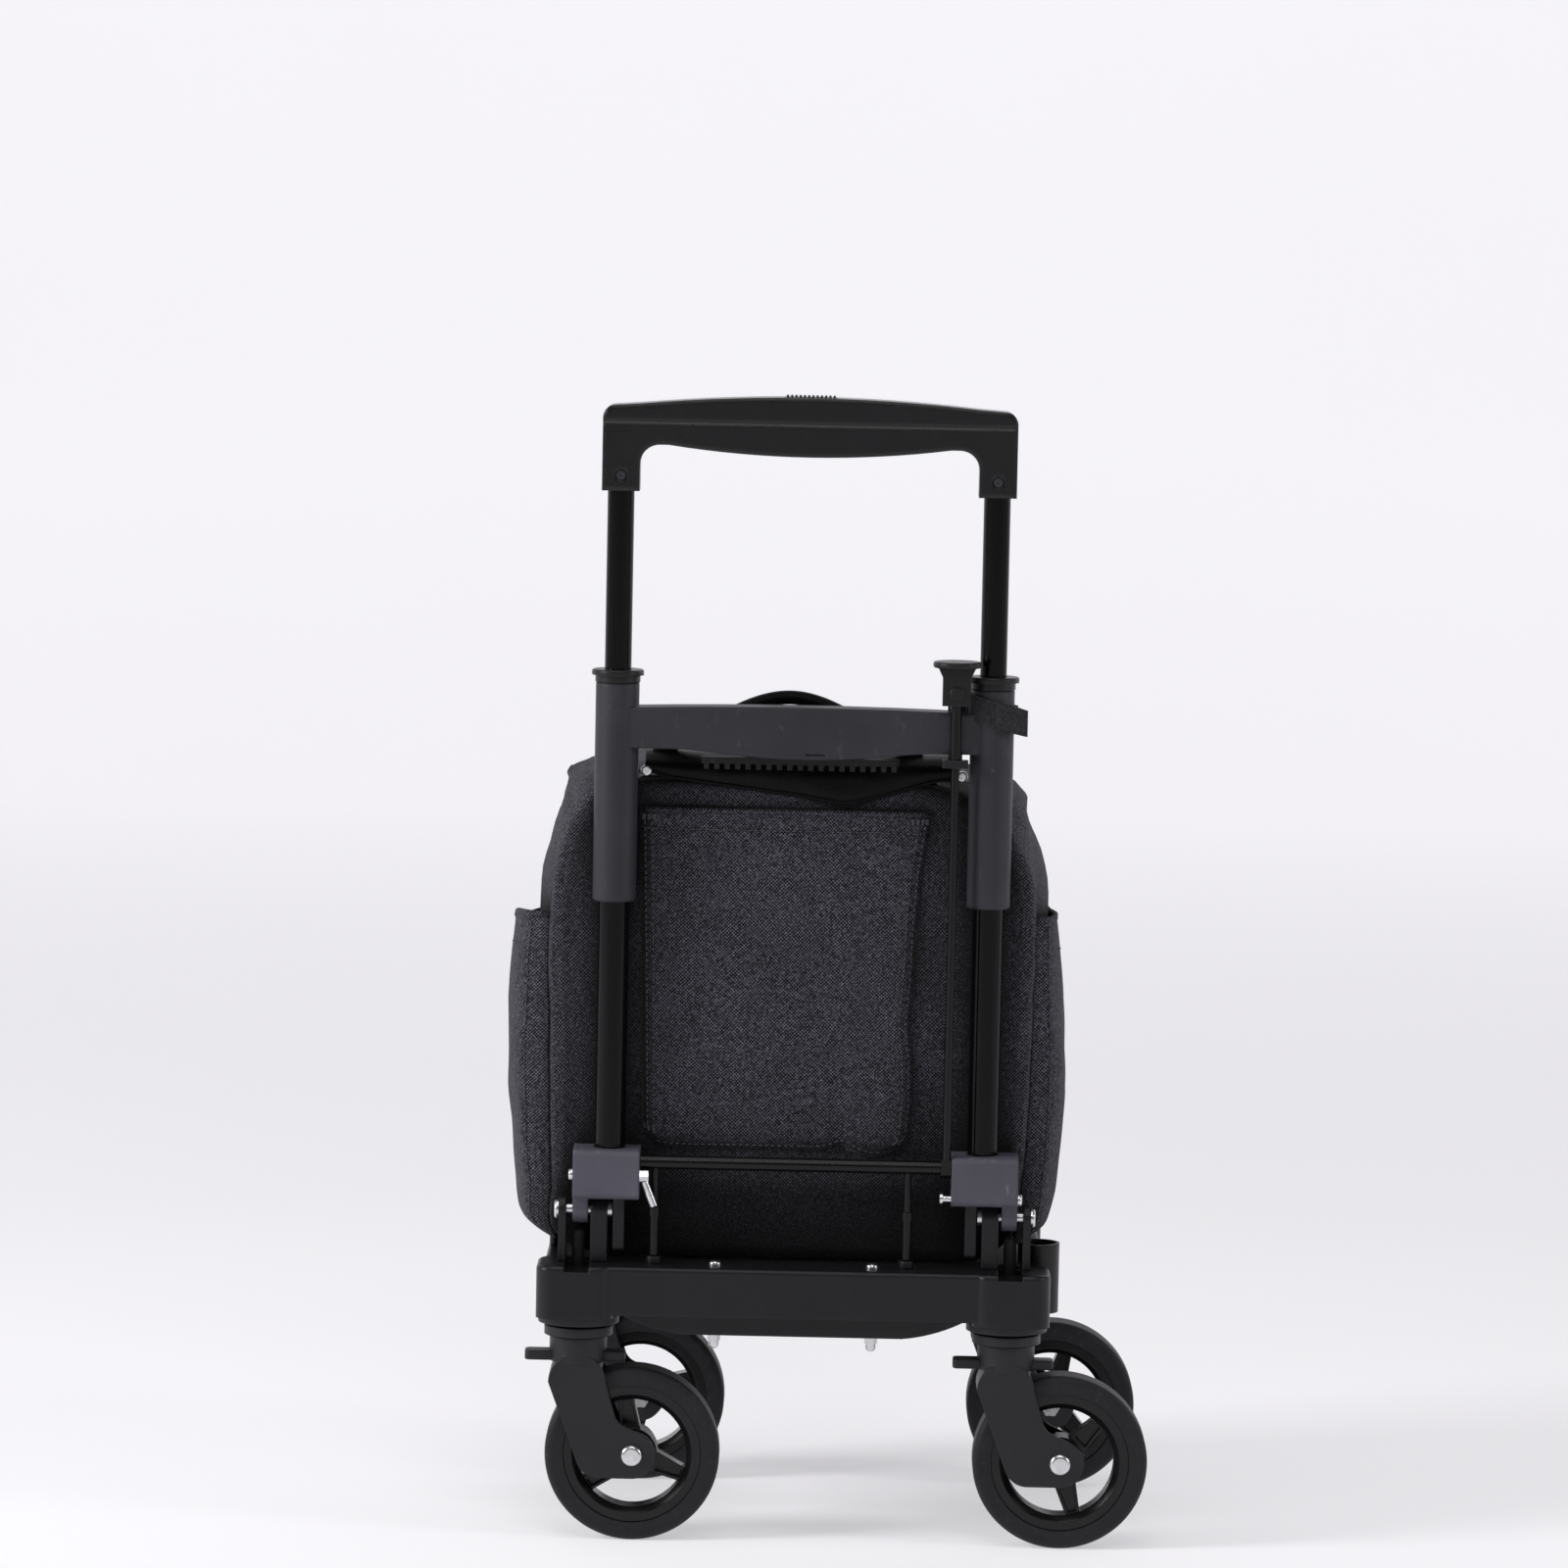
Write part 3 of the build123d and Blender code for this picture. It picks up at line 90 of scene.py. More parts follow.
# ---------------------------------------------------------------- materials
class Shade:
    """Builds one node material; every call returns an output socket."""

    def __init__(self, name):
        self.material = bpy.data.materials.new(name)
        self.material.use_nodes = True
        self.tree = self.material.node_tree
        self.shader = self.tree.nodes["Principled BSDF"]
        self.object = self.tree.nodes.new("ShaderNodeTexCoord").outputs["Object"]

    def link(self, out, socket):
        self.tree.links.new(out, socket)

    def math(self, operation, a, b=None, c=None, clamp=False):
        node = self.tree.nodes.new("ShaderNodeMath")
        node.operation = operation
        node.use_clamp = clamp
        for socket, value in zip(node.inputs, (a, b, c)):
            if value is None:
                continue
            if isinstance(value, (int, float)):
                socket.default_value = value
            else:
                self.link(value, socket)
        return node.outputs[0]

    def stretch(self, scale, coords=None):
        node = self.tree.nodes.new("ShaderNodeMapping")
        node.inputs["Scale"].default_value = scale
        self.link(coords or self.object, node.inputs["Vector"])
        return node.outputs[0]

    def noise(self, scale, detail=3.0, rough=0.55, coords=None, distortion=0.0):
        node = self.tree.nodes.new("ShaderNodeTexNoise")
        node.inputs["Scale"].default_value = scale
        node.inputs["Detail"].default_value = detail
        node.inputs["Roughness"].default_value = rough
        node.inputs["Distortion"].default_value = distortion
        self.link(coords or self.object, node.inputs["Vector"])
        return node.outputs["Fac"]

    def ramp(self, fac, stops):
        node = self.tree.nodes.new("ShaderNodeValToRGB")
        while len(node.color_ramp.elements) < len(stops):
            node.color_ramp.elements.new(0.5)
        for element, (at, colour) in zip(node.color_ramp.elements, stops):
            element.position = at
            rgb = colour if hasattr(colour, "__len__") else (colour, colour, colour)
            element.color = (*rgb, 1)
        self.link(fac, node.inputs["Fac"])
        return node.outputs["Color"]

    def mix(self, fac, a, b, blend="MIX"):
        node = self.tree.nodes.new("ShaderNodeMix")
        node.data_type = "RGBA"
        node.blend_type = blend
        factor = node.inputs[0]
        first, second = node.inputs[6], node.inputs[7]
        for socket, value in ((factor, fac), (first, a), (second, b)):
            if isinstance(value, (int, float)):
                socket.default_value = value
            elif isinstance(value, tuple):
                socket.default_value = (*value, 1)
            else:
                self.link(value, socket)
        return node.outputs[2]

    def bump(self, height, strength, distance, below=None):
        node = self.tree.nodes.new("ShaderNodeBump")
        node.inputs["Strength"].default_value = strength
        node.inputs["Distance"].default_value = distance
        self.link(height, node.inputs["Height"])
        if below is not None:
            self.link(below, node.inputs["Normal"])
        return node.outputs[0]

    def rounded(self, radius):
        """A normal that softens the sharp edges of moulded parts."""
        node = self.tree.nodes.new("ShaderNodeBevel")
        node.samples = 6
        node.inputs["Radius"].default_value = radius
        return node.outputs[0]

    def finish(self, colour, rough, normal=None, **fixed):
        self.link(colour, self.shader.inputs["Base Color"])
        if isinstance(rough, (int, float)):
            self.shader.inputs["Roughness"].default_value = rough
        else:
            self.link(rough, self.shader.inputs["Roughness"])
        if normal is not None:
            self.link(normal, self.shader.inputs["Normal"])
        for name, value in fixed.items():
            self.shader.inputs[name.replace("_", " ")].default_value = value
        return self.material


def scaled(colour, share):
    return tuple(c * share for c in colour)


def moulded_plastic(name, colour, rough, grain=0.25, scuff=0.0, spread=0.10, level=0.30,
                    edge=0.0012):
    """Injection moulded plastic: fine spark grain, slow tone drift, faint rubbed marks."""
    s = Shade(name)
    drift = s.noise(14, 3)
    fine = s.noise(1900, 2)
    marks = s.noise(120, 6, 0.7, s.stretch((1, 1, 0.35)), 0.6)
    tone = s.ramp(drift, [(0.3, scaled(colour, 1 - spread)), (0.7, scaled(colour, 1 + spread))])
    rubbed = s.math("MULTIPLY", s.math("SUBTRACT", marks, 0.60, clamp=True), 6.0 * scuff, clamp=True)
    tone = s.mix(rubbed, tone, tuple(min(1.0, c * 2.2 + 0.02) for c in colour))
    gloss = s.math("MULTIPLY_ADD", s.noise(45, 4), 0.22, rough - 0.11)
    gloss = s.math("MULTIPLY_ADD", rubbed, 0.15, gloss)
    normal = s.bump(fine, grain, 0.00025, s.bump(drift, 0.06, 0.002, s.rounded(edge)))
    return s.finish(tone, gloss, normal, Specular_IOR_Level=level)


def painted_tube(name, colour, rough, level):
    """Black anodised or painted metal with lengthwise drawing lines."""
    s = Shade(name)
    lines = s.noise(900, 2, 0.5, s.stretch((1, 1, 0.02)))
    drift = s.noise(9, 3, 0.5, s.stretch((1, 1, 0.4)))
    dust = s.noise(650, 4, 0.75)
    tone = s.ramp(drift, [(0.3, scaled(colour, 0.8)), (0.7, scaled(colour, 1.25))])
    speck = s.math("MULTIPLY", s.math("SUBTRACT", dust, 0.68, clamp=True), 3.0, clamp=True)
    tone = s.mix(speck, tone, (0.10, 0.10, 0.11))
    gloss = s.math("MULTIPLY_ADD", lines, 0.14, rough - 0.05)
    return s.finish(tone, gloss, s.bump(lines, 0.12, 0.0002), Specular_IOR_Level=level)


def plated_metal(name, colour, rough):
    s = Shade(name)
    spangle = s.noise(260, 4, 0.6)
    fine = s.noise(2400, 2)
    tone = s.ramp(spangle, [(0.3, tuple(c * 0.82 for c in colour)), (0.7, colour)])
    gloss = s.math("MULTIPLY_ADD", spangle, 0.16, rough - 0.05)
    return s.finish(tone, gloss, s.bump(fine, 0.10, 0.0002), Metallic=1.0)


def rubber(name, colour, rough):
    s = Shade(name)
    fine = s.noise(1300, 3)
    drift = s.noise(30, 5, 0.6)
    dust = s.noise(160, 6, 0.7)
    tone = s.ramp(drift, [(0.3, scaled(colour, 0.8)), (0.7, scaled(colour, 1.2))])
    dusty = s.math("MULTIPLY", s.math("SUBTRACT", dust, 0.55, clamp=True), 0.9, clamp=True)
    tone = s.mix(dusty, tone, (0.11, 0.105, 0.10))
    gloss = s.math("MULTIPLY_ADD", drift, 0.14, rough - 0.07)
    return s.finish(tone, gloss, s.bump(fine, 0.35, 0.0003), Specular_IOR_Level=0.25)


def woven(name, dark, mid, light, pitch, melange, weave=0.6, sheen=0.15, rough=0.92, speck=0.5, drift_amount=0.2,
          painted_hollow_shade=0.0, level=0.2, painted_shade_height=0.0):
    """Cloth whose threads follow the object's own X, Y and Z, chosen by which way the face looks."""
    s = Shade(name)
    split = s.tree.nodes.new("ShaderNodeSeparateXYZ")
    wobble = s.tree.nodes.new("ShaderNodeTexNoise")
    wobble.inputs["Scale"].default_value = 60
    wobble.inputs["Detail"].default_value = 2
    s.link(s.object, wobble.inputs["Vector"])
    shifted = s.tree.nodes.new("ShaderNodeVectorMath")
    shifted.operation = "MULTIPLY_ADD"
    shifted.inputs[1].default_value = (0.0016, 0.0016, 0.0016)
    s.link(wobble.outputs["Color"], shifted.inputs[0])
    s.link(s.object, shifted.inputs[2])
    s.link(shifted.outputs[0], split.inputs[0])
    turn = math.pi / pitch
    sx, sy, sz = [s.math("SINE", s.math("MULTIPLY", split.outputs[i], turn)) for i in range(3)]
    face = s.tree.nodes.new("ShaderNodeSeparateXYZ")
    s.link(s.tree.nodes["Texture Coordinate"].outputs["Normal"], face.inputs[0])
    wx, wy, wz = [s.math("POWER", s.math("ABSOLUTE", face.outputs[i]), 4.0) for i in range(3)]
    total = s.math("ADD", s.math("ADD", wx, wy), s.math("ADD", wz, 0.001))
    across = s.math("MULTIPLY", s.math("MULTIPLY", sy, sz), wx)
    behind = s.math("MULTIPLY", s.math("MULTIPLY", sx, sz), wy)
    above = s.math("MULTIPLY", s.math("MULTIPLY", sx, sy), wz)
    cross = s.math("DIVIDE", s.math("ADD", s.math("ADD", across, behind), above), total)
    height = s.math("MULTIPLY_ADD", cross, 0.5, 0.5, clamp=True)
    threads = s.noise(melange, 2, 0.6, s.stretch((0.5, 0.5, 1.0)))
    risers = s.noise(melange, 2, 0.6, s.stretch((1.0, 1.0, 0.5)))
    yarn = s.math("ADD", s.math("MULTIPLY", threads, 0.5), s.math("MULTIPLY", risers, 0.5))
    yarn = s.math("ADD", s.math("MULTIPLY", yarn, 0.70), s.math("MULTIPLY", height, 0.30))
    base = s.ramp(yarn, [(0.42, dark), (0.51, mid), (0.61, light)])
    patches = s.noise(24, 4, 0.6)
    base = s.mix(1.0, base, s.ramp(patches, [(0.3, 1 - drift_amount), (0.7, 1.0)]), "MULTIPLY")
    flecks = s.noise(melange * 1.25, 1, 0.5)
    chosen = s.math("MULTIPLY", s.math("SUBTRACT", flecks, 0.70, clamp=True), 14.0 * speck, clamp=True)
    base = s.mix(chosen, base, tuple(min(1.0, c * 2.6 + 0.01) for c in light))
    relief = s.math("ADD", height, s.math("MULTIPLY", yarn, 0.8))
    normal = s.bump(relief, weave, 0.0005, s.bump(patches, 0.10, 0.004))
    # painted shade: the cloth is darkened in hollows and next to parts close in front of it, where shade falls
    if painted_hollow_shade:
        hollow = s.tree.nodes.new("ShaderNodeAmbientOcclusion")
        hollow.samples = 8
        hollow.inputs["Distance"].default_value = 0.07
        open_air = s.math("MULTIPLY_ADD", hollow.outputs["AO"], 2.3, -1.22, clamp=True)
        base = s.mix(open_air, s.mix(1.0, base, (1 - painted_hollow_shade, 1 - painted_hollow_shade, 1 - painted_hollow_shade), "MULTIPLY"), base)
    # painted shade: below the given height the cloth is darkened, as where it lies in shade
    if painted_shade_height:
        clear = s.math("MULTIPLY_ADD", split.outputs[2], 1 / 0.045, -(painted_shade_height - 0.020) / 0.045, clamp=True)
        base = s.mix(clear, s.mix(1.0, base, (0.32, 0.32, 0.32), "MULTIPLY"), base)
    return s.finish(base, rough, normal, Sheen_Weight=sheen, Sheen_Roughness=0.5, Specular_IOR_Level=level)


def fleece(name, colour):
    s = Shade(name)
    tufts = s.noise(420, 6, 0.7, distortion=0.8)
    clumps = s.noise(60, 3)
    tone = s.ramp(clumps, [(0.3, tuple(c * 0.82 for c in colour)), (0.7, colour)])
    tone = s.mix(s.math("MULTIPLY", tufts, 0.35), tone, tuple(c * 0.6 for c in colour))
    return s.finish(tone, 0.95, s.bump(tufts, 0.9, 0.0015), Sheen_Weight=0.4, Sheen_Roughness=0.6,
                    Specular_IOR_Level=0.15)


YARN = ((0.0035, 0.0033, 0.0050), (0.0180, 0.0172, 0.0235), (0.135, 0.131, 0.162))
FINISHES = {
    "base_plastic": moulded_plastic("base_plastic", (0.0058, 0.0056, 0.0072), 0.38, 0.3, 0.15, 0.12, 0.32, 0.0025),
    "grip_plastic": moulded_plastic("grip_plastic", (0.0235, 0.0235, 0.0295), 0.48, 0.45, 0.8, 0.16, 0.32, 0.0045),
    "handle_plastic": moulded_plastic("handle_plastic", (0.0040, 0.0040, 0.0047), 0.25, 0.22, 0.15, 0.12,
                                      0.42, 0.0045),
    "button_plastic": moulded_plastic("button_plastic", (0.010, 0.010, 0.011), 0.45, 0.3, 0.1),
    "collar_plastic": moulded_plastic("collar_plastic", (0.008, 0.008, 0.009), 0.36, 0.3, 0.2),
    "caster_plastic": moulded_plastic("caster_plastic", (0.0125, 0.0122, 0.0155), 0.46, 0.4, 0.2, 0.1,
                                      0.36, 0.0020),
    "rim_plastic": moulded_plastic("rim_plastic", (0.0052, 0.0052, 0.006), 0.24, 0.12, 0.1),
    "tyre_rubber": rubber("tyre_rubber", (0.0135, 0.0130, 0.0152), 0.56),
    "rib_rubber": rubber("rib_rubber", (0.012, 0.012, 0.013), 0.55),
    "buffer_rubber": rubber("buffer_rubber", (0.015, 0.015, 0.015), 0.7),
    "black_tube": painted_tube("black_tube", (0.0012, 0.0012, 0.0015), 0.13, 0.15),
    "black_rod": painted_tube("black_rod", (0.0030, 0.0030, 0.0036), 0.25, 0.25),
    "zinc": plated_metal("zinc", (0.74, 0.75, 0.76), 0.26),
    "black_screw": plated_metal("black_screw", (0.09, 0.09, 0.10), 0.34),
    "inner_steel": plated_metal("inner_steel", (0.40, 0.40, 0.41), 0.35),
    # the canvas carries painted shade in its hollows
    "canvas": woven("canvas", *YARN, 0.00125, 780, sheen=0.06, painted_hollow_shade=0.8),
    "nylon": woven("nylon", (0.0010, 0.0010, 0.0013), (0.0022, 0.0022, 0.0027), (0.006, 0.006, 0.007), 0.0006, 900,
                   0.25, 0.0, 0.40, 0.1, 0.25, 0.0, 0.10),
    "webbing": woven("webbing", (0.010, 0.010, 0.012), (0.020, 0.020, 0.024), (0.045, 0.045, 0.052), 0.0009, 700,
                     0.7, 0.1, 0.85, 0.3),
    "pad_fleece": fleece("pad_fleece", (0.33, 0.32, 0.31)),
}
# the bag's panels carry painted shade: toned down toward the base and in hollows, where shade falls
PANEL = woven("panel_canvas_painted_shade", *YARN, 0.00125, 780, sheen=0.06, painted_hollow_shade=0.85, painted_shade_height=0.262)
THREAD = woven("thread", (0.030, 0.029, 0.036), (0.070, 0.068, 0.082), (0.14, 0.135, 0.16), 0.0004, 1500, 0.4, 0.2)
ZIP_TEETH = moulded_plastic("zip_teeth", (0.012, 0.012, 0.013), 0.3, 0.1)

# the two hinge brackets read paler than the rest of the grip plastic
BRACKET = moulded_plastic("bracket_plastic", (0.075, 0.072, 0.094), 0.54, 0.5, 1.0, 0.16, 0.36, 0.0030)

SLOT_OF = {p["node"]: p["material_slot"] for p in frame["record"]["subparts"]}
for node_name, node in nodes.items():
    node.data.materials.clear()
    paler = node_name.startswith("hinge_bracket")
    node.data.materials.append(BRACKET if paler else FINISHES[SLOT_OF[node_name]])


# ---------------------------------------------------------------- mesh helpers
def mesh_object(name, verts, faces, material, smooth=True):
    data = bpy.data.meshes.new(name)
    data.from_pydata([tuple(v) for v in verts], [], [tuple(int(i) for i in f) for f in faces])
    data.validate()
    data.polygons.foreach_set("use_smooth", [smooth] * len(data.polygons))
    data.materials.append(material)
    piece = bpy.data.objects.new(name, data)
    bpy.context.scene.collection.objects.link(piece)
    return piece


def grid_faces(across, up, flip=False):
    """Quads over rows of across + 1 points; flip turns them to face the other way."""
    faces = []
    for j in range(up):
        for i in range(across):
            a = j * (across + 1) + i
            b = a + across + 1
            faces.append((a, b, b + 1, a + 1) if flip else (a, a + 1, b + 1, b))
    return faces


def apply_modifiers(piece):
    bpy.context.view_layer.update()
    graph = bpy.context.evaluated_depsgraph_get()
    baked = bpy.data.meshes.new_from_object(piece.evaluated_get(graph))
    piece.modifiers.clear()
    old = piece.data
    piece.data = baked
    bpy.data.meshes.remove(old)
    return piece


def coords(piece):
    co = np.empty(len(piece.data.vertices) * 3)
    piece.data.vertices.foreach_get("co", co)
    return co.reshape(-1, 3)


def set_coords(piece, co):
    piece.data.vertices.foreach_set("co", np.asarray(co).ravel())
    piece.data.update()


def thicken(piece, thickness, offset=-1.0, levels=0):
    solid = piece.modifiers.new("thickness", "SOLIDIFY")
    solid.thickness = thickness
    solid.offset = offset
    solid.use_even_offset = True
    if levels:
        finer = piece.modifiers.new("finer", "SUBSURF")
        finer.levels = finer.render_levels = levels
    return apply_modifiers(piece)


def inflate(piece, pressure, cap, pinned, frames=20):
    """Puffs a closed mesh with cloth pressure; no point moves further than the cap."""
    start = coords(piece)
    group = piece.vertex_groups.new(name="held")
    group.add([int(i) for i in pinned], 1.0, "REPLACE")
    cloth = piece.modifiers.new("cloth", "CLOTH")
    cloth.settings.quality = 6
    cloth.settings.mass = 0.3
    cloth.settings.tension_stiffness = 18
    cloth.settings.compression_stiffness = 18
    cloth.settings.shear_stiffness = 8
    cloth.settings.bending_stiffness = 1.2
    cloth.settings.use_pressure = True
    cloth.settings.uniform_pressure_force = pressure
    cloth.settings.vertex_group_mass = "held"
    cloth.settings.effector_weights.gravity = 0
    cloth.collision_settings.use_collision = False
    cloth.point_cache.frame_start = 1
    cloth.point_cache.frame_end = frames
    for number in range(1, frames + 1):
        bpy.context.scene.frame_set(number)
    graph = bpy.context.evaluated_depsgraph_get()
    puffed = piece.evaluated_get(graph).to_mesh()
    end = np.empty(len(puffed.vertices) * 3)
    puffed.vertices.foreach_get("co", end)
    end = end.reshape(-1, 3)
    piece.evaluated_get(graph).to_mesh_clear()
    piece.modifiers.clear()
    piece.vertex_groups.clear()
    bpy.context.scene.frame_set(1)
    move = end - start
    length = np.linalg.norm(move, axis=1, keepdims=True)
    move *= np.minimum(1.0, cap / np.maximum(length, 1e-9))
    set_coords(piece, start + move)
    return piece


def wavy(x, y, z, size, seed):
    return noise.noise(Vector((x / size + seed, y / size + 3.1 * seed, z / size - 1.7 * seed)))


def tube(name, path, radius, material, closed=False, sides=10, flat=1.0, up=(0, 0, 1)):
    """A round or flattened tube along a line of points."""
    pts = [Vector(p) for p in path]
    count = len(pts)
    verts, faces = [], []
    for i, p in enumerate(pts):
        ahead = pts[(i + 1) % count] if closed or i + 1 < count else p
        behind = pts[i - 1] if closed or i else p
        run = (ahead - behind).normalized()
        side = run.cross(Vector(up))
        side = side.normalized() if side.length > 1e-6 else run.orthogonal().normalized()
        lift = side.cross(run).normalized()
        for k in range(sides):
            a = 2 * math.pi * k / sides
            verts.append(p + side * radius * math.cos(a) + lift * radius * flat * math.sin(a))
    for i in range(count if closed else count - 1):
        for k in range(sides):
            a, b = i * sides + k, i * sides + (k + 1) % sides
            c, d = (a + sides) % len(verts), (b + sides) % len(verts)
            faces.append((a, b, d, c))
    if not closed:
        faces.append(list(range(sides))[::-1])
        faces.append(list(range((count - 1) * sides, count * sides)))
    return mesh_object(name, verts, faces, material)


def resample(path, step, closed=False):
    pts = np.array([tuple(p) for p in path], float)
    if closed:
        pts = np.vstack([pts, pts[:1]])
    run = np.concatenate([[0], np.cumsum(np.linalg.norm(np.diff(pts, axis=0), axis=1))])
    count = max(2, int(run[-1] / step))
    at = np.linspace(0, run[-1], count, endpoint=not closed)
    return np.column_stack([np.interp(at, run, pts[:, i]) for i in range(3)])


def stitch_row(path, out, length=0.0030, pitch=0.0044, radius=0.00042, closed=False):
    """Verts and faces of a row of single stitches that lie on a surface."""
    pts = resample(path, pitch, closed)
    verts, faces = [], []
    outward = Vector(out).normalized() if not callable(out) else None
    for i in range(len(pts) - (0 if closed else 1)):
        p, q = Vector(pts[i]), Vector(pts[(i + 1) % len(pts)])
        run = (q - p).normalized()
        normal = outward or Vector(out(p)).normalized()
        side = run.cross(normal).normalized()
        middle = (p + q) / 2 + normal * radius * 0.6
        base = len(verts)
        for t, r in ((-0.5, 0.25), (-0.3, 1.0), (0.3, 1.0), (0.5, 0.25)):
            for sx, sn in ((-1, 0), (0, 1.0), (1, 0), (0, -0.8)):
                verts.append(middle + run * length * t + side * radius * r * sx + normal * radius * r * sn)
        for ring in range(3):
            for k in range(4):
                a, b = base + ring * 4 + k, base + ring * 4 + (k + 1) % 4
                faces.append((a, b, b + 4, a + 4))
        faces.append((base + 3, base + 2, base + 1, base))
        faces.append((base + 12, base + 13, base + 14, base + 15))
    return verts, faces


def stitches(name, rows, material=THREAD):
    verts, faces = [], []
    for row_verts, row_faces in rows:
        base = len(verts)
        verts += row_verts
        faces += [tuple(i + base for i in f) for f in row_faces]
    return mesh_object(name, verts, faces, material)


def soft_piece(piece, body, slot, *stands_for):
    """A cloth piece of the bag: it rides and stands for CAD cloth; the slot is not used."""
    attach(piece, body)
    if stands_for:
        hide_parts(*stands_for)
    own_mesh(piece)
    return piece


# ---------------------------------------------------------------- bag body
# Outline seen from behind, in metres from the mast's middle plane and from the floor.
LEFT_SIDE = [(-0.090, 0.5565), (-0.130, 0.5555), (-0.150, 0.5490), (-0.161, 0.5405), (-0.1690, 0.5290),
             (-0.1778, 0.5150),
             (-0.1845, 0.4930), (-0.1900, 0.4600), (-0.1885, 0.4000), (-0.1880, 0.3300), (-0.1860, 0.2700),
             (-0.1830, 0.2320), (-0.1720, 0.2115), (-0.1400, 0.2050)]
RIGHT_SIDE = [(0.080, 0.5560), (0.108, 0.5530), (0.132, 0.5440), (0.150, 0.5315), (0.1600, 0.5190),
              (0.1675, 0.5030),
              (0.1755, 0.4830), (0.1795, 0.4550), (0.1775, 0.4000), (0.1770, 0.3300), (0.1745, 0.2700),
              (0.1680, 0.2350), (0.1520, 0.2130), (0.1280, 0.2050)]
SIDE_STEPS = 46
TOP_STEPS = 44
FLOOR_STEPS = 36


def along(points, steps):
    line = resample([(x, 0, z) for x, z in points], 0.0005)
    run = np.linspace(0, len(line) - 1, steps)
    at = np.arange(len(line))
    return np.column_stack([np.interp(run, at, line[:, 0]), np.interp(run, at, line[:, 2])])


def smooth_line(points):
    """Rounds a given outline with three corner-cutting passes."""
    pts = np.array(points, float)
    for _ in range(3):
        cut = [pts[0]]
        for a, b in zip(pts[:-1], pts[1:]):
            cut += [0.75 * a + 0.25 * b, 0.25 * a + 0.75 * b]
        cut.append(pts[-1])
        pts = np.array(cut)
    return pts


def bag_loop():
    left = along(smooth_line(LEFT_SIDE), SIDE_STEPS)
    right = along(smooth_line(RIGHT_SIDE), SIDE_STEPS)[::-1]
    floor = np.linspace(left[-1], right[0], FLOOR_STEPS + 2)[1:-1]
    top = np.linspace(right[-1], left[0], TOP_STEPS + 2)[1:-1]
    top[:, 1] += 0.0012 * np.sin(np.linspace(0, math.pi, TOP_STEPS))
    return np.vstack([left, floor, right, top])


LOOP = bag_loop()
CENTRE = np.array([-0.0055, 0.385])


def inset_loop(inset, low_inset=0.0):
    """The outline drawn in by an inset; the underside stays where it is."""
    after = np.roll(LOOP, -1, 0)
    before = np.roll(LOOP, 1, 0)
    run = after - before
    normal = np.column_stack([run[:, 1], -run[:, 0]])
    normal /= np.linalg.norm(normal, axis=1, keepdims=True)
    outward = np.sign(((LOOP - CENTRE) * normal).sum(1, keepdims=True))
    normal *= outward
    amount = np.minimum(inset, np.interp(LOOP[:, 1], [0.205, 0.245], [low_inset, inset]))
    return LOOP - normal * np.asarray(amount)[:, None]


def side_inset(y):
    """How far the sides pull in at depth y: tight at both seams, full between them."""
    depths = [REAR_Y, REAR_Y + 0.010, REAR_Y + 0.030, REAR_Y + 0.060,
              FRONT_Y - 0.055, FRONT_Y - 0.025, FRONT_Y - 0.008]
    return float(np.interp(y, depths, [0.0165, 0.0115, 0.0045, 0.0, 0.0, 0.006, 0.017]))


def top_sag(x, y):
    """The unsupported roof dips between its seams and over the lid."""
    along_y = math.sin(math.pi * min(1, max(0, (y - REAR_Y) / (FRONT_Y - REAR_Y))))
    across = math.exp(-((x + 0.006) / 0.11) ** 2)
    forward = min(1.0, max(0.0, (y - REAR_Y - 0.012) / 0.20))
    return -0.0045 * along_y * across - 0.003 * forward


def bag_point(x, y, z):
    """Slow hand-made unevenness of the filled bag."""
    side = 1.0 if abs(x + 0.0055) > 0.13 else 0.35
    push = 0.0030 * side * wavy(x, y, z, 0.075, 4.0) + 0.0014 * side * wavy(x, y, z, 0.032, 9.0)
    if z > 0.5:
        z += top_sag(x, y) * min(1, (z - 0.5) / 0.05) + 0.0012 * wavy(x, y, z, 0.05, 2.0)
    return x + math.copysign(push, x), y, z + 0.4 * push * (z > 0.25)


def build_bag():
    depths = [REAR_Y + 0.0008] + list(np.linspace(REAR_Y + 0.006, FRONT_Y - 0.010, 32))
    loops = []
    count = len(LOOP)
    for t in np.linspace(0.06, 0.97, 17):
        flat = CENTRE + (inset_loop(0.0165) - CENTRE) * t
        puff = 0.0012 * (1 - t ** 4)
        loops.append([(x, REAR_Y + 0.0016 - puff + 0.0010 * wavy(x, 0, z, 0.06, 1.0), z) for x, z in flat])
    for y in depths:
        ring = inset_loop(side_inset(y))
        loops.append([bag_point(x, y, z) for x, z in ring])
    for t in np.linspace(0.97, 0.06, 17):
        flat = CENTRE + (inset_loop(0.017) - CENTRE) * t
        puff = 0.010 * (1 - t ** 2.5)
        loops.append([(x, FRONT_Y - 0.0085 + puff * 0.75 + 0.0012 * wavy(x, 1, z, 0.07, 6.0), z) for x, z in flat])
    verts = [(MID + x, y, z) for ring in loops for x, y, z in ring]
    faces = []
    for i in range(len(loops) - 1):
        for k in range(count):
            a, b = i * count + k, i * count + (k + 1) % count
            faces.append((a, b, b + count, a + count))
    faces.append(list(range(count))[::-1])
    faces.append(list(range((len(loops) - 1) * count, len(loops) * count)))
    bag = mesh_object("bag_body", verts, faces, PANEL)
    seam_rear, seam_front = 17, 17 + len(depths) - 1
    pinned = [i for i, (x, y, z) in enumerate(verts)
              if i // count <= seam_rear + 1 or i // count >= seam_front or z < 0.23]
    inflate(bag, 3.0, 0.005, pinned)
    return bag, seam_rear, seam_front, count


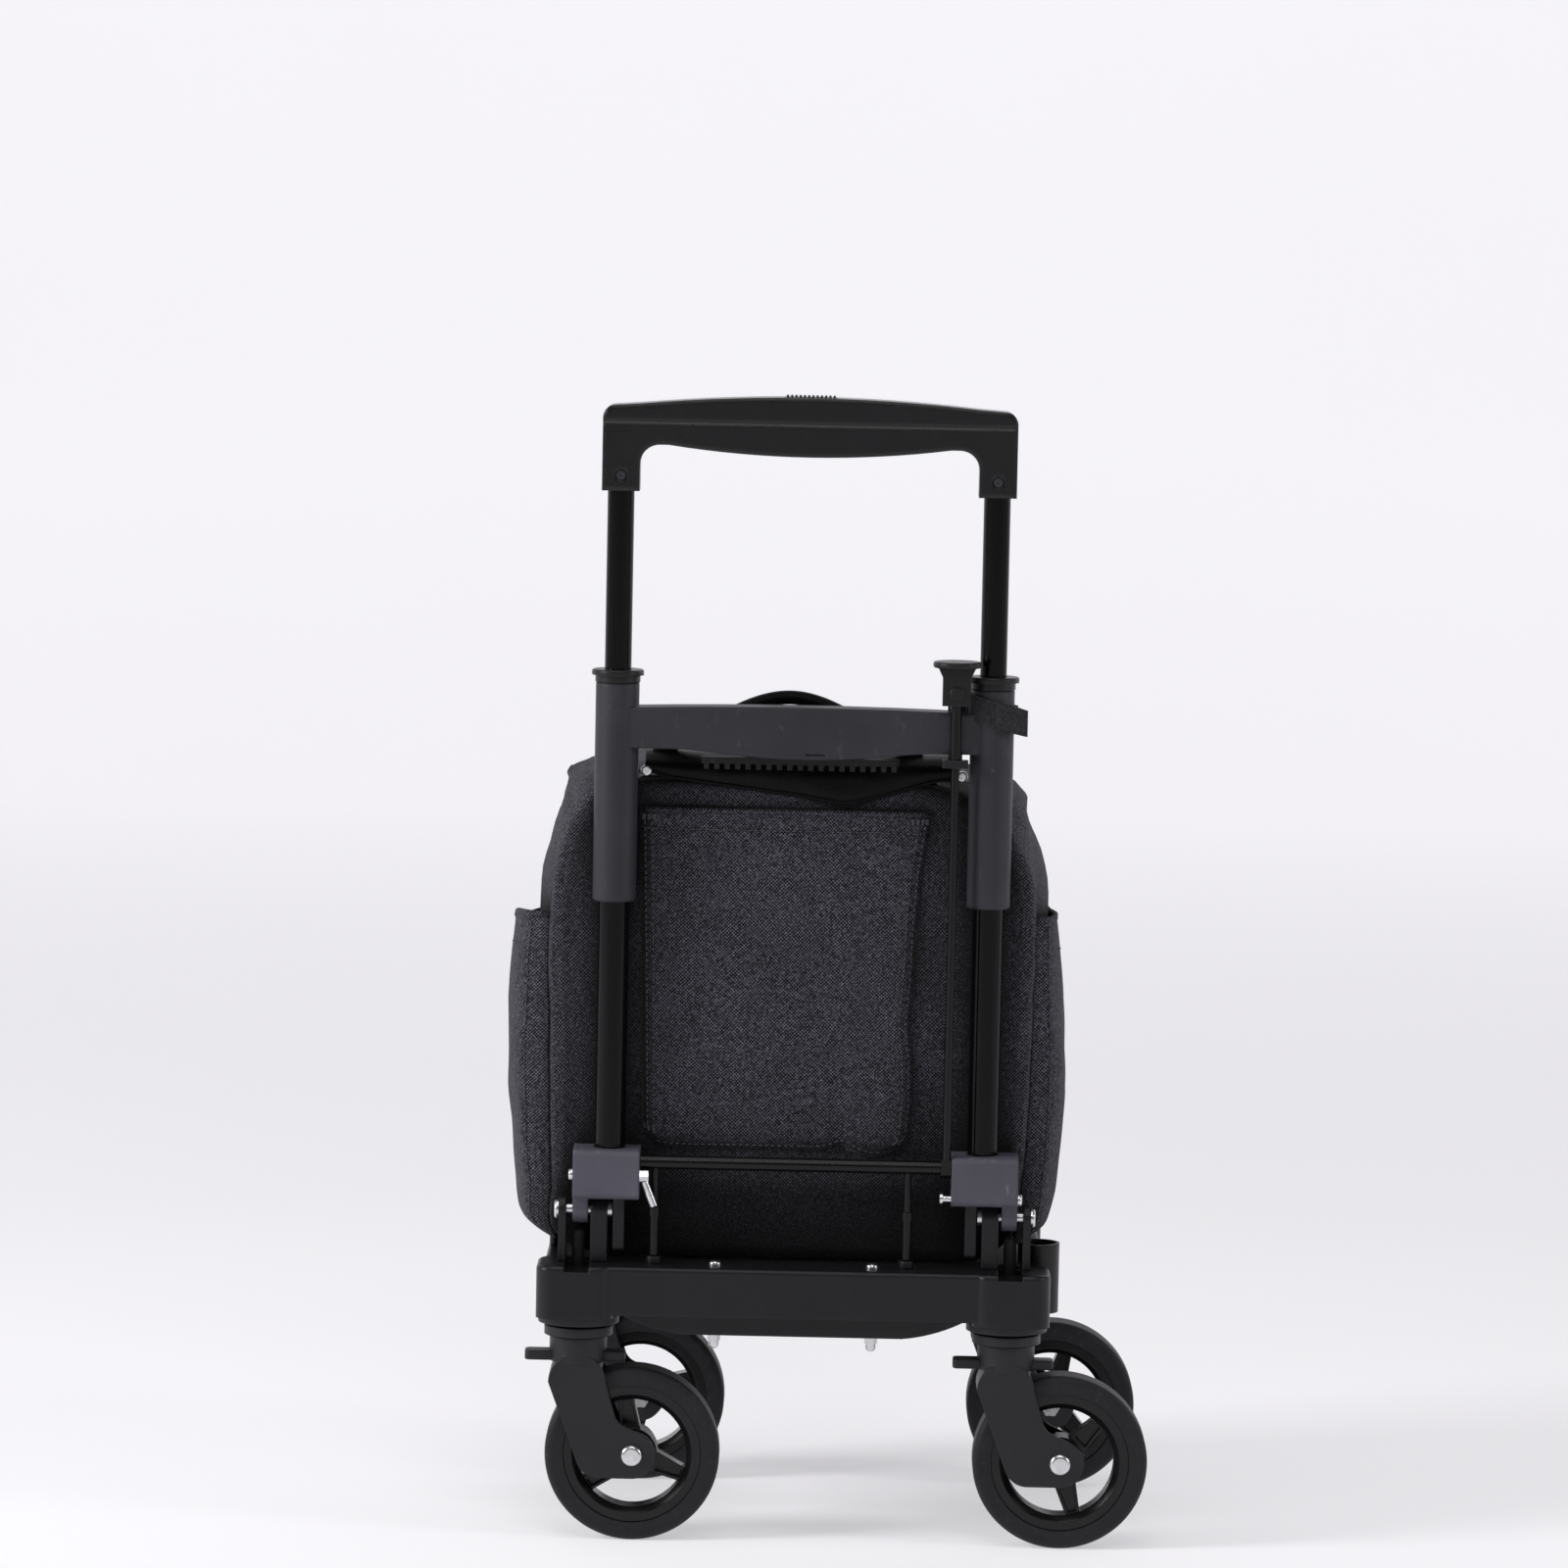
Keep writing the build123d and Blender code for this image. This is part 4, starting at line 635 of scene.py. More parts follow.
bag, SEAM_REAR, SEAM_FRONT, RING = build_bag()
body_co = coords(bag)
rear_seam = [tuple(v) for v in body_co[SEAM_REAR * RING:(SEAM_REAR + 1) * RING]]
front_seam = [tuple(v) for v in body_co[SEAM_FRONT * RING:(SEAM_FRONT + 1) * RING]]
whole = BVHTree.FromPolygons([Vector(v) for v in body_co], [list(p.vertices) for p in bag.data.polygons])


def roof_z(x, y):
    hit = whole.ray_cast(Vector((x, y, 1.0)), Vector((0, 0, -1)))
    return hit[0].z if hit[0] else bag_hi.z


def side_x(side, y, z):
    hit = whole.ray_cast(Vector((MID + side * 0.5, y, z)), Vector((-side, 0, 0)))
    return hit[0].x if hit[0] else MID + side * 0.17


LID_CX = (lid_lo.x + lid_hi.x) / 2
LID_CY = (lid_lo.y + lid_hi.y) / 2
LID_HX = (lid_hi.x - lid_lo.x) / 2
LID_HY = (lid_hi.y - lid_lo.y) / 2
LID_R = 0.022


def lid_distance(x, y, grow=0.0):
    """Signed distance to the lid's rounded rectangle, negative inside."""
    dx = abs(x - LID_CX) - (LID_HX + grow - LID_R)
    dy = abs(y - LID_CY) - (LID_HY + grow - LID_R)
    return math.hypot(max(dx, 0), max(dy, 0)) + min(max(dx, dy), 0) - LID_R


def lid_path(grow, step=0.004):
    hx, hy, r = LID_HX + grow, LID_HY + grow, LID_R + grow
    pts = []
    for cx, cy, a0 in ((hx - r, hy - r, 0), (r - hx, hy - r, 90), (r - hx, r - hy, 180), (hx - r, r - hy, 270)):
        for a in np.linspace(a0, a0 + 90, 9):
            turn = math.radians(a)
            pts.append((LID_CX + cx + r * math.cos(turn), LID_CY + cy + r * math.sin(turn), 0))
    return [(x, y, roof_z(x, y)) for x, y, _ in resample(pts, step, True)]


def cut_lid(body):
    """Splits the roof panel off the body along the zip line."""
    cut = bmesh.new()
    cut.from_mesh(body.data)
    cut.faces.ensure_lookup_table()
    roof = [f for f in cut.faces if f.calc_center_median().z > 0.50 and abs(f.normal.z) > 0.3]
    bmesh.ops.subdivide_edges(cut, edges=list({e for f in roof for e in f.edges}), cuts=1, use_grid_fill=True)
    for v in cut.verts:
        if v.co.z < 0.50:
            continue
        d = lid_distance(v.co.x, v.co.y)
        if abs(d) < 0.0024:
            e = 0.0005
            gx = (lid_distance(v.co.x + e, v.co.y) - lid_distance(v.co.x - e, v.co.y)) / (2 * e)
            gy = (lid_distance(v.co.x, v.co.y + e) - lid_distance(v.co.x, v.co.y - e)) / (2 * e)
            v.co.x -= d * gx
            v.co.y -= d * gy
    inside = [f for f in cut.faces
              if f.calc_center_median().z > 0.50 and lid_distance(*f.calc_center_median().xy) < 0]
    verts, faces, seen = [], [], {}
    for f in inside:
        face = []
        for v in f.verts:
            if v not in seen:
                seen[v] = len(verts)
                verts.append(tuple(v.co))
            face.append(seen[v])
        faces.append(face)
    bmesh.ops.delete(cut, geom=inside, context="FACES")
    cut.to_mesh(body.data)
    cut.free()
    body.data.polygons.foreach_set("use_smooth", [True] * len(body.data.polygons))
    return mesh_object("lid_cloth", verts, faces, FINISHES["canvas"])


lid = cut_lid(bag)
thicken(bag, 0.0026)
thicken(lid, 0.0026)
soft_piece(bag, "mast", "canvas", "bag_shell")
soft_piece(lid, "lid", "canvas", "bag_lid")


def zip_side(name, body, grow):
    """One half of the zip: woven tape, a row of teeth along its inner edge and a line of stitches."""
    inner = lid_path(0.0004 if grow > 0 else -0.0004)
    outer = lid_path(0.0085 * (1 if grow > 0 else -1))
    inner = resample(inner, 0.004, True)
    outer = np.array(outer)
    verts, faces = [], []
    count = len(inner)
    for p in inner:
        gap = np.linalg.norm(outer[:, :2] - p[:2], axis=1)
        q = outer[int(gap.argmin())]
        for t in (0.0, 0.35, 1.0):
            x, y = p[0] + (q[0] - p[0]) * t, p[1] + (q[1] - p[1]) * t
            verts.append((x, y, roof_z(x, y) + (0.0016 if t < 1 else 0.0004)))
    for i in range(count):
        for k in range(2):
            a, b = i * 3 + k, ((i + 1) % count) * 3 + k
            faces.append((a, b, b + 1, a + 1))
    tape = mesh_object(name, verts, faces, FINISHES["nylon"])
    thicken(tape, 0.0008, 1.0)
    soft_piece(tape, body, "nylon")
    teeth_verts, teeth_faces = [], []
    side = 1 if grow > 0 else -1
    for i, p in enumerate(resample(lid_path(0.0006 * side), 0.0026, True)):
        e = 0.0005
        g = Vector((lid_distance(p[0] + e, p[1]) - lid_distance(p[0] - e, p[1]),
                    lid_distance(p[0], p[1] + e) - lid_distance(p[0], p[1] - e), 0)).normalized()
        run = Vector((-g.y, g.x, 0))
        middle = Vector(p) + Vector((0, 0, 0.0024)) + g * 0.0010 * side
        base = len(teeth_verts)
        for dz in (-0.0008, 0.0008):
            for a, b in ((-1, -1), (1, -1), (1, 1), (-1, 1)):
                narrow = 0.8 if dz > 0 else 1.0
                corner = run * 0.00075 * a * narrow + g * 0.0016 * b * narrow
                teeth_verts.append(middle + corner + Vector((0, 0, dz)))
        teeth_faces += [tuple(base + i for i in f) for f in
                        ((3, 2, 1, 0), (4, 5, 6, 7), (0, 1, 5, 4), (1, 2, 6, 5), (2, 3, 7, 6), (3, 0, 4, 7))]
    teeth = mesh_object(name + "_teeth", teeth_verts, teeth_faces, ZIP_TEETH, False)
    soft_piece(teeth, body, "nylon")
    line = [(x, y, z + 0.0012) for x, y, z in lid_path(0.0068 * side)]
    sewn = stitches(name + "_stitches", [stitch_row(line, (0, 0, 1), closed=True)])
    soft_piece(sewn, body, "canvas")


zip_side("zip_tape_bag", "mast", 1)
zip_side("zip_tape_lid", "lid", -1)


def seam_trim(name, seam, y_step, rows):
    """A corded edge along a panel seam and the stitch lines beside it."""
    line = resample(seam, 0.005, True)
    line = (np.roll(line, 1, 0) + line + np.roll(line, -1, 0)) / 3
    cord = tube(name + "_piping", line, 0.0024, FINISHES["canvas"], True, 8, up=(0, 1, 0))
    soft_piece(cord, "mast", "canvas")
    made = []
    for inset, lift in rows:
        centre = np.array([MID + CENTRE[0], 0, CENTRE[1]])
        flat = line - centre
        size = np.linalg.norm(flat[:, [0, 2]], axis=1, keepdims=True)
        moved = centre + flat * (1 - inset / size)
        moved[:, 1] = line[:, 1] + lift
        made.append(stitch_row(moved, (0, y_step, 0), closed=True))
    soft_piece(stitches(name + "_stitches", made), "mast", "canvas")


def lid_hinge():
    """The cloth hinge: a strip on the lid that reaches to the fold line, where it stays put as the lid opens."""
    hinge = next(j for j in frame["record"]["behaviour"]["joints"] if j["name"] == "lid_open")
    fold = Vector(hinge["pos_m"])
    half = LID_HX - 0.016
    start = LID_CY + LID_HY - 0.006
    verts = []
    across, deep = 40, 6
    for j in range(deep + 1):
        t = j / deep
        y = start + (fold.y + 0.0012 - start) * t
        for i in range(across + 1):
            x = LID_CX + half * (2 * i / across - 1)
            z = (roof_z(x, start) + 0.0012) * (1 - t) + fold.z * t
            verts.append((x, y, z + 0.0003 * wavy(x, y, 0, 0.02, 3.0)))
    strip = mesh_object("lid_hinge_strip", verts, grid_faces(across, deep), FINISHES["canvas"])
    thicken(strip, 0.0012, 1.0)
    soft_piece(strip, "lid", "canvas")
    under = [(x, y - 0.0008, z - 0.0030) for x, y, z in verts[deep * (across + 1):]]
    anchor_row = [(x, y + 0.0012, roof_z(x, y + 0.0012) + 0.0004) for x, y, z in under]
    skirt_verts = under + anchor_row
    count = across + 1
    skirt_faces = [(i, i + 1, i + count + 1, i + count) for i in range(across)]
    skirt = mesh_object("lid_hinge_anchor", skirt_verts, skirt_faces, FINISHES["canvas"])
    thicken(skirt, 0.0010, 1.0)
    soft_piece(skirt, "mast", "canvas")


lid_hinge()
seam_trim("rear_seam", rear_seam, -1, [(0.0048, -0.0006)])
seam_trim("front_seam", front_seam, 1, [(0.0050, 0.0030)])


# ---------------------------------------------------------------- side pockets
def side_pocket(side):
    """A patch that bulges off the bag's side, gathered by a bound hem at its open top."""
    name = "side_pocket_left" if side < 0 else "side_pocket_right"
    heights = [0.2105, 0.222, 0.238, 0.2475, 0.283, 0.316, 0.352, 0.389, 0.420, 0.446]
    reach = [0.1955, 0.1995, 0.2015, 0.2018, 0.2058, 0.2085, 0.2098, 0.2092, 0.2075, 0.2058] if side < 0 else \
            [0.1750, 0.1815, 0.1860, 0.1880, 0.1912, 0.1928, 0.1922, 0.1895, 0.1862, 0.1838]
    back, front = REAR_Y + 0.0065, FRONT_Y - 0.026
    across, up = 44, 52
    top = side_hi.z
    verts, faces = [], []
    for j in range(up + 1):
        v = j / up
        z = 0.2115 + (top - 0.2115) * v
        out = float(np.interp(z, heights, reach))
        for i in range(across + 1):
            u = i / across
            y = back + (front - back) * u
            bare = side_x(side, min(max(y, REAR_Y + 0.004), FRONT_Y - 0.012), max(z, 0.232))
            crest = MID + side * out
            hold = math.sin(math.pi * u ** 0.72) ** 0.42 if 0 < u < 1 else 0.0
            low = min(1.0, v / 0.06) ** 0.6
            x = bare + side * 0.0012 + (crest - bare - side * 0.0012) * hold
            x = x if v > 0.06 else bare * (1 - low) + x * low - side * 0.004 * (1 - low)
            fold = 0.0022 * wavy(side, y, z, 0.055, 5.0) + 0.0010 * wavy(side, y, z, 0.025, 8.0)
            x += side * fold * hold
            run = min(1.0, u / 0.85)
            dip = (0.022 if side < 0 else 0.008) * run * run * (3 - 2 * run) * v ** 3
            verts.append((x, y, z - dip + (0.0018 if side > 0 else -0.0012) * (1 - 2 * u) * v))
    for j in range(up):
        for i in range(across):
            a = j * (across + 1) + i
            quad = (a, a + 1, a + across + 2, a + across + 1)
            faces.append(quad if side > 0 else quad[::-1])
    piece = mesh_object(name, verts, faces, FINISHES["canvas"])
    rim = [verts[up * (across + 1) + i] for i in range(across + 1)]
    hem = [verts[(up - 5) * (across + 1) + i] for i in range(across + 1)]
    edges = [[verts[j * (across + 1) + k] for j in range(2, up + 1)] for k in (1, across - 1)]
    thicken(piece, 0.0016, 1.0, 1)
    soft_piece(piece, "mast", "canvas")
    mouth = [(x + side * 0.0006, y, z) for x, y, z in rim]
    binding = tube(name + "_hem", mouth, 0.0019, FINISHES["canvas"], False, 8, 1.3)
    soft_piece(binding, "mast", "canvas")
    rows = [stitch_row([(x + side * 0.0016, y, z) for x, y, z in line], (side, 0, 0)) for line in [hem, *edges]]
    soft_piece(stitches(name + "_stitches", rows), "mast", "canvas")
    return piece


left_pocket = side_pocket(-1)
side_pocket(1)
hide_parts("side_pockets")


# ---------------------------------------------------------------- rear patch pocket
REAR_LEFT = [(0.277, -0.1085), (0.289, -0.1098), (0.34, -0.1112), (0.42, -0.1130), (0.50, -0.1155),
             (0.523, -0.1163)]
REAR_RIGHT = [(0.277, 0.0775), (0.290, 0.0808), (0.316, 0.0832), (0.345, 0.0828), (0.372, 0.0796), (0.41, 0.0826),
              (0.447, 0.0838), (0.48, 0.0862), (0.508, 0.0905), (0.523, 0.0920)]


def pocket_surface(u, v):
    """u runs left to right and v from the bottom to the open top; returns a point on the patch."""
    z0 = 0.2805 + 0.0050 * math.exp(-((u - 0.78) / 0.05) ** 2) - 0.0035 * math.exp(-((u - 0.92) / 0.07) ** 2)
    z0 += 0.0060 * max(0.0, 1 - u / 0.10) ** 2
    z = z0 + (pocket_hi.z + 0.002 - z0) * v
    zs = [p[0] for p in REAR_LEFT]
    left = float(np.interp(z, zs, [p[1] for p in REAR_LEFT]))
    right = float(np.interp(z, [p[0] for p in REAR_RIGHT], [p[1] for p in REAR_RIGHT]))
    round_left = 0.006 * max(0.0, 1 - v / 0.05) ** 2
    round_right = 0.012 * max(0.0, 1 - v / 0.07) ** 2
    x = left + round_left + (right - round_right - left - round_left) * u
    edge = min(1.0, min(u, 1 - u) / 0.035) ** 0.55 * min(1.0, v / 0.03) ** 0.5
    full = 0.0040 + 0.0030 * math.exp(-((u - 0.90) / 0.12) ** 2 - ((v - 0.10) / 0.20) ** 2)
    full += 0.0020 * math.exp(-((u - 0.5) / 0.35) ** 2 - ((v - 0.30) / 0.30) ** 2)
    left_fold = math.exp(-(((u - 0.13) - 0.55 * (v - 0.03)) / 0.035) ** 2)
    right_fold = math.exp(-(((u - 0.74) + 0.45 * (v - 0.04)) / 0.030) ** 2)
    crease = -0.0026 * left_fold * math.exp(-((v - 0.10) / 0.09) ** 2)
    crease += -0.0022 * right_fold * math.exp(-((v - 0.05) / 0.07) ** 2)
    crease += -0.0012 * math.exp(-((v - 0.62 - 0.15 * u) / 0.05) ** 2) * math.exp(-((u - 0.85) / 0.2) ** 2)
    uneven = 0.0014 * wavy(x, 0, z, 0.070, 3.0) + 0.0007 * wavy(x, 0, z, 0.030, 7.0)
    y = REAR_Y - 0.0006 - edge * (full + crease + uneven)
    return MID + x, max(y, pocket_lo.y), z


def rear_pocket():
    across, up = 76, 88
    verts = [pocket_surface(i / across, j / up) for j in range(up + 1) for i in range(across + 1)]
    piece = mesh_object("rear_pocket_cloth", verts, grid_faces(across, up), FINISHES["canvas"])
    thicken(piece, 0.0014, 1.0)
    soft_piece(piece, "mast", "canvas", "rear_pocket")
    lift = 0.0016

    def on(u, v, out=lift):
        x, y, z = pocket_surface(u, v)
        return x, y - out, z

    hem = [on(u, 1.0, 0.0009) for u in np.linspace(0, 1, 60)]
    soft_piece(tube("rear_pocket_hem", hem, 0.0014, FINISHES["canvas"], False, 8, 1.5), "mast", "canvas")
    fold = [(x, y - 0.0002, z - 0.0145) for x, y, z in hem]
    soft_piece(tube("rear_pocket_hem_fold", fold, 0.0006, FINISHES["canvas"], False, 6, 1.0), "mast", "canvas")
    rows = []
    for u0 in (0.018, 0.042):
        rows.append(stitch_row([on(u0, v) for v in np.linspace(0.03, 0.99, 90)], (0, -1, 0)))
        rows.append(stitch_row([on(1 - u0, v) for v in np.linspace(0.03, 0.99, 90)], (0, -1, 0)))
    rows.append(stitch_row([on(u, 0.945) for u in np.linspace(0.02, 0.98, 70)], (0, -1, 0)))
    rows.append(stitch_row([on(u, 0.012) for u in np.linspace(0.03, 0.97, 70)], (0, -1, 0)))
    for u0, u1, v0 in ((0.93, 0.995, 0.985), (0.005, 0.06, 0.985), (0.955, 0.99, 0.045), (0.0, 0.05, 0.05)):
        for k in range(4):
            bar = [on(u, v0 - 0.004 * k) for u in np.linspace(u0, u1, 5)]
            rows.append(stitch_row(bar, (0, -1, 0), 0.0024, 0.0026, 0.0005))
    soft_piece(stitches("rear_pocket_stitches", rows), "mast", "canvas")


rear_pocket()


# ---------------------------------------------------------------- drooping top flap
FLAP_EDGE = [(-0.1127, 0.5530), (-0.1020, 0.5475), (-0.0590, 0.5423), (-0.0010, 0.5352), (0.0290, 0.5300),
             (0.0602, 0.5367),
             (0.0888, 0.5465), (0.1060, 0.5490)]


def flap_surface(u, v):
    """u runs left to right; v runs from the sewn line on the roof down to the loose edge."""
    x = FLAP_EDGE[0][0] + (FLAP_EDGE[-1][0] - FLAP_EDGE[0][0]) * u
    low = float(np.interp(x, [p[0] for p in FLAP_EDGE], [p[1] for p in FLAP_EDGE]))
    for shift in (-0.006, 0.006):
        low += float(np.interp(x + shift, [p[0] for p in FLAP_EDGE], [p[1] for p in FLAP_EDGE]))
    low /= 3
    over = min(1.0, v / 0.45)
    ridge = REAR_Y - 0.0010
    roof_y = REAR_Y + 0.026
    bend = 0.0065
    top = 0.5640 - 0.0020 * math.sin(math.pi * u)
    if v < 0.45:
        y = roof_y + (ridge - roof_y) * over
        z = top - bend * over ** 3
    else:
        t = (v - 0.45) / 0.55
        z = top - bend + (low - top + bend) * t
        y = ridge - 0.0022 * math.sin(math.pi * min(1, t * 1.1)) - 0.0008
    vee = abs(x - 0.027)
    droop = math.exp(-(vee / 0.030) ** 2)
    tuck = math.exp(-((vee - 0.034) / 0.010) ** 2)
    if v > 0.3:
        y -= (0.0026 * droop - 0.0012 * tuck) * min(1, (v - 0.3) / 0.4)
        y -= 0.0012 * wavy(x, 0, z, 0.022, 2.0)
    return MID + x, max(y, REAR_Y - 0.0052), z


def top_flap():
    across, down = 90, 26
    verts = [flap_surface(i / across, j / down) for j in range(down + 1) for i in range(across + 1)]
    piece = mesh_object("top_flap_cloth", verts, grid_faces(across, down, True), FINISHES["nylon"])
    thicken(piece, 0.0010, 1.0)
    soft_piece(piece, "mast", "nylon", "top_flap")
    hem = []
    for u in np.linspace(0.005, 0.995, 80):
        x, y, z = flap_surface(u, 1.0)
        hem.append((x, y - 0.0006, z))
    soft_piece(tube("top_flap_hem", hem, 0.0012, FINISHES["nylon"], False, 8, 1.2), "mast", "nylon")


top_flap()


# ---------------------------------------------------------------- carry handle
def smooth_curve(points, radius):
    """Points read along a smooth spline through the handle's run."""
    data = bpy.data.curves.new("run", "CURVE")
    data.dimensions = "3D"
    spline = data.splines.new("NURBS")
    spline.points.add(len(points) - 1)
    for p, q in zip(spline.points, points):
        p.co = (*q, 1)
    spline.order_u = 4
    spline.use_endpoint_u = True
    data.resolution_u = 16
    holder = bpy.data.objects.new("run", data)
    bpy.context.scene.collection.objects.link(holder)
    bpy.context.view_layer.update()
    line = bpy.data.meshes.new_from_object(holder)
    found = [tuple(v.co) for v in line.vertices]
    bpy.data.objects.remove(holder)
    bpy.data.meshes.remove(line)
    return resample(found, radius)


def carry_handle():
    y = (handle_lo.y + handle_hi.y) / 2
    run = smooth_curve([(MID + x, y + dy, z) for x, dy, z in
                        ((-0.107, 0.0, 0.5625), (-0.099, 0.0, 0.5650), (-0.083, 0.001, 0.5740), (-0.060, 0.002, 0.5865),
                         (-0.036, 0.002, 0.5995), (-0.010, 0.001, 0.6055), (0.016, 0.001, 0.5990), (0.040, 0.001, 0.5855),
                         (0.061, 0.0, 0.5740), (0.074, 0.0, 0.5650), (0.084, 0.0, 0.5625))], 0.004)
    grip = tube("carry_handle_roll", run, 0.0050, FINISHES["nylon"], False, 14, 1.0, (0, 1, 0))
    soft_piece(grip, "mast", "nylon", "carry_handle")
    lip = tube("carry_handle_seam", [(x, py - 0.0030, z + 0.0034) for x, py, z in run[6:-6]], 0.0010,
               FINISHES["nylon"], False, 6, 1.0, (0, 1, 0))
    soft_piece(lip, "mast", "nylon")
    for name, at in (("left", -0.106), ("right", 0.084)):
        verts = []
        nx, ny = 12, 8
        for j in range(ny + 1):
            for i in range(nx + 1):
                px = MID + at + 0.026 * (i / nx - 0.5)
                py = y + 0.018 * (j / ny - 0.5)
                mound = max(0.0, 1 - ((i / nx - 0.5) / 0.5) ** 4) * max(0.0, 1 - ((j / ny - 0.5) / 0.5) ** 4)
                verts.append((px, py, roof_z(px, py) + 0.0008 + 0.0030 * mound))
        tab = mesh_object("carry_handle_tab_" + name, verts, grid_faces(nx, ny), FINISHES["nylon"])
        thicken(tab, 0.0014, 1.0)
        soft_piece(tab, "mast", "nylon")


carry_handle()


# ---------------------------------------------------------------- floor cushion
def floor_cushion():
    """A thin padded mat with quilted rows, swelled by cloth pressure."""
    cx, cy = (pad_lo.x + pad_hi.x) / 2, (pad_lo.y + pad_hi.y) / 2
    hx, hy = (pad_hi.x - pad_lo.x) / 2 - 0.004, (pad_hi.y - pad_lo.y) / 2 - 0.004
    nx, ny = 44, 32
    verts, faces, held = [], [], []
    for level in (0, 1):
        for j in range(ny + 1):
            for i in range(nx + 1):
                u, v = 2 * i / nx - 1, 2 * j / ny - 1
                corner = max(0.0, abs(u) + abs(v) - 1.7)
                x = cx + hx * u * (1 - 0.10 * corner)
                y = cy + hy * v * (1 - 0.12 * corner)
                rim = max(abs(u), abs(v))
                thick = (1 - rim ** 8)
                z = pad_lo.z + 0.0008 + (0.0045 * thick if level else 0)
                if level and i % 11 == 0 and 0 < i < nx:
                    held.append(len(verts))
                if rim > 0.999 or not level:
                    held.append(len(verts))
                verts.append((x, y, z))
    size = (nx + 1) * (ny + 1)
    for j in range(ny):
        for i in range(nx):
            a = j * (nx + 1) + i
            faces.append((a, a + nx + 1, a + nx + 2, a + 1))
            b = a + size
            faces.append((b, b + 1, b + nx + 2, b + nx + 1))
    ring = [i for i in range(nx)] + [nx + j * (nx + 1) for j in range(ny)]
    ring += [size - 1 - i for i in range(nx)] + [(ny - j) * (nx + 1) for j in range(ny)]
    for a, b in zip(ring, ring[1:] + ring[:1]):
        faces.append((a, b, b + size, a + size))
    pad = mesh_object("floor_cushion", verts, faces, FINISHES["pad_fleece"])
    inflate(pad, 4.0, 0.005, held)
    finer = pad.modifiers.new("finer", "SUBSURF")
    finer.levels = finer.render_levels = 1
    apply_modifiers(pad)
    soft_piece(pad, "mast", "pad_fleece", "floor_pad")


floor_cushion()


# ---------------------------------------------------------------- umbrella strap
def umbrella_strap():
    sleeve_r = (grip_hi.x - grip_lo.x) / 2 - 0.133
    cx, cy = MID + 0.133, POST_Y
    verts = []
    around, up = 96, 6
    high = 0.0185

    def centre_z(x):
        return 0.5985 - 0.27 * (x - cx)

    for i in range(around + 1):
        turn = i / around
        a = math.radians(-168 + 352 * turn)
        r = sleeve_r + 0.0011 + 0.0012 * (turn > 0.9) + 0.0004 * math.sin(5 * a)
        x, y = cx + r * math.cos(a), cy + r * math.sin(a)
        for j in range(up + 1):
            verts.append((x + 0.0003 * math.sin(9 * a), y, centre_z(x) + high * (j / up - 0.5)))
    band = mesh_object("umbrella_band", verts, grid_faces(up, around, True), FINISHES["webbing"])
    thicken(band, 0.0013, 1.0)
    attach(band, "mast")
    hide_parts("umbrella_strap")
    # the loose end: it leaves the sleeve on its outer side and folds back
    verts = []
    path = [(0.0020, -0.0178), (0.0075, -0.0176), (0.0130, -0.0160), (0.0180, -0.0128), (0.0222, -0.0098),
            (0.0246, -0.0078),
            (0.0238, -0.0052), (0.0205, -0.0040), (0.0186, -0.0015)]
    path = smooth_line(path)
    for dx, dy in path:
        for j in range(up + 1):
            x, y = cx + dx, cy + dy - 0.0015
            verts.append((x, y, centre_z(x) + high * (j / up - 0.5) - 0.0004))
    tail = mesh_object("umbrella_band_end", verts, grid_faces(up, len(path) - 1, True), FINISHES["webbing"])
    thicken(tail, 0.0013, 0.0)
    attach(tail, "mast")
    # the short stub beside the knob bracket
    verts = []
    for i in range(9):
        t = i / 8
        x = cx - 0.0150 - 0.0165 * t
        y = cy + 0.0055 - 0.0045 * t
        for j in range(up + 1):
            level = j / up - 0.5
            verts.append((x, y, 0.6060 - 0.004 * t + 0.0165 * level * (1 - 0.25 * t) + 0.004 * t * level))
    stub = mesh_object("umbrella_band_stub", verts, grid_faces(up, 8, True), FINISHES["webbing"])
    thicken(stub, 0.0013, 0.0)
    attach(stub, "mast")


umbrella_strap()


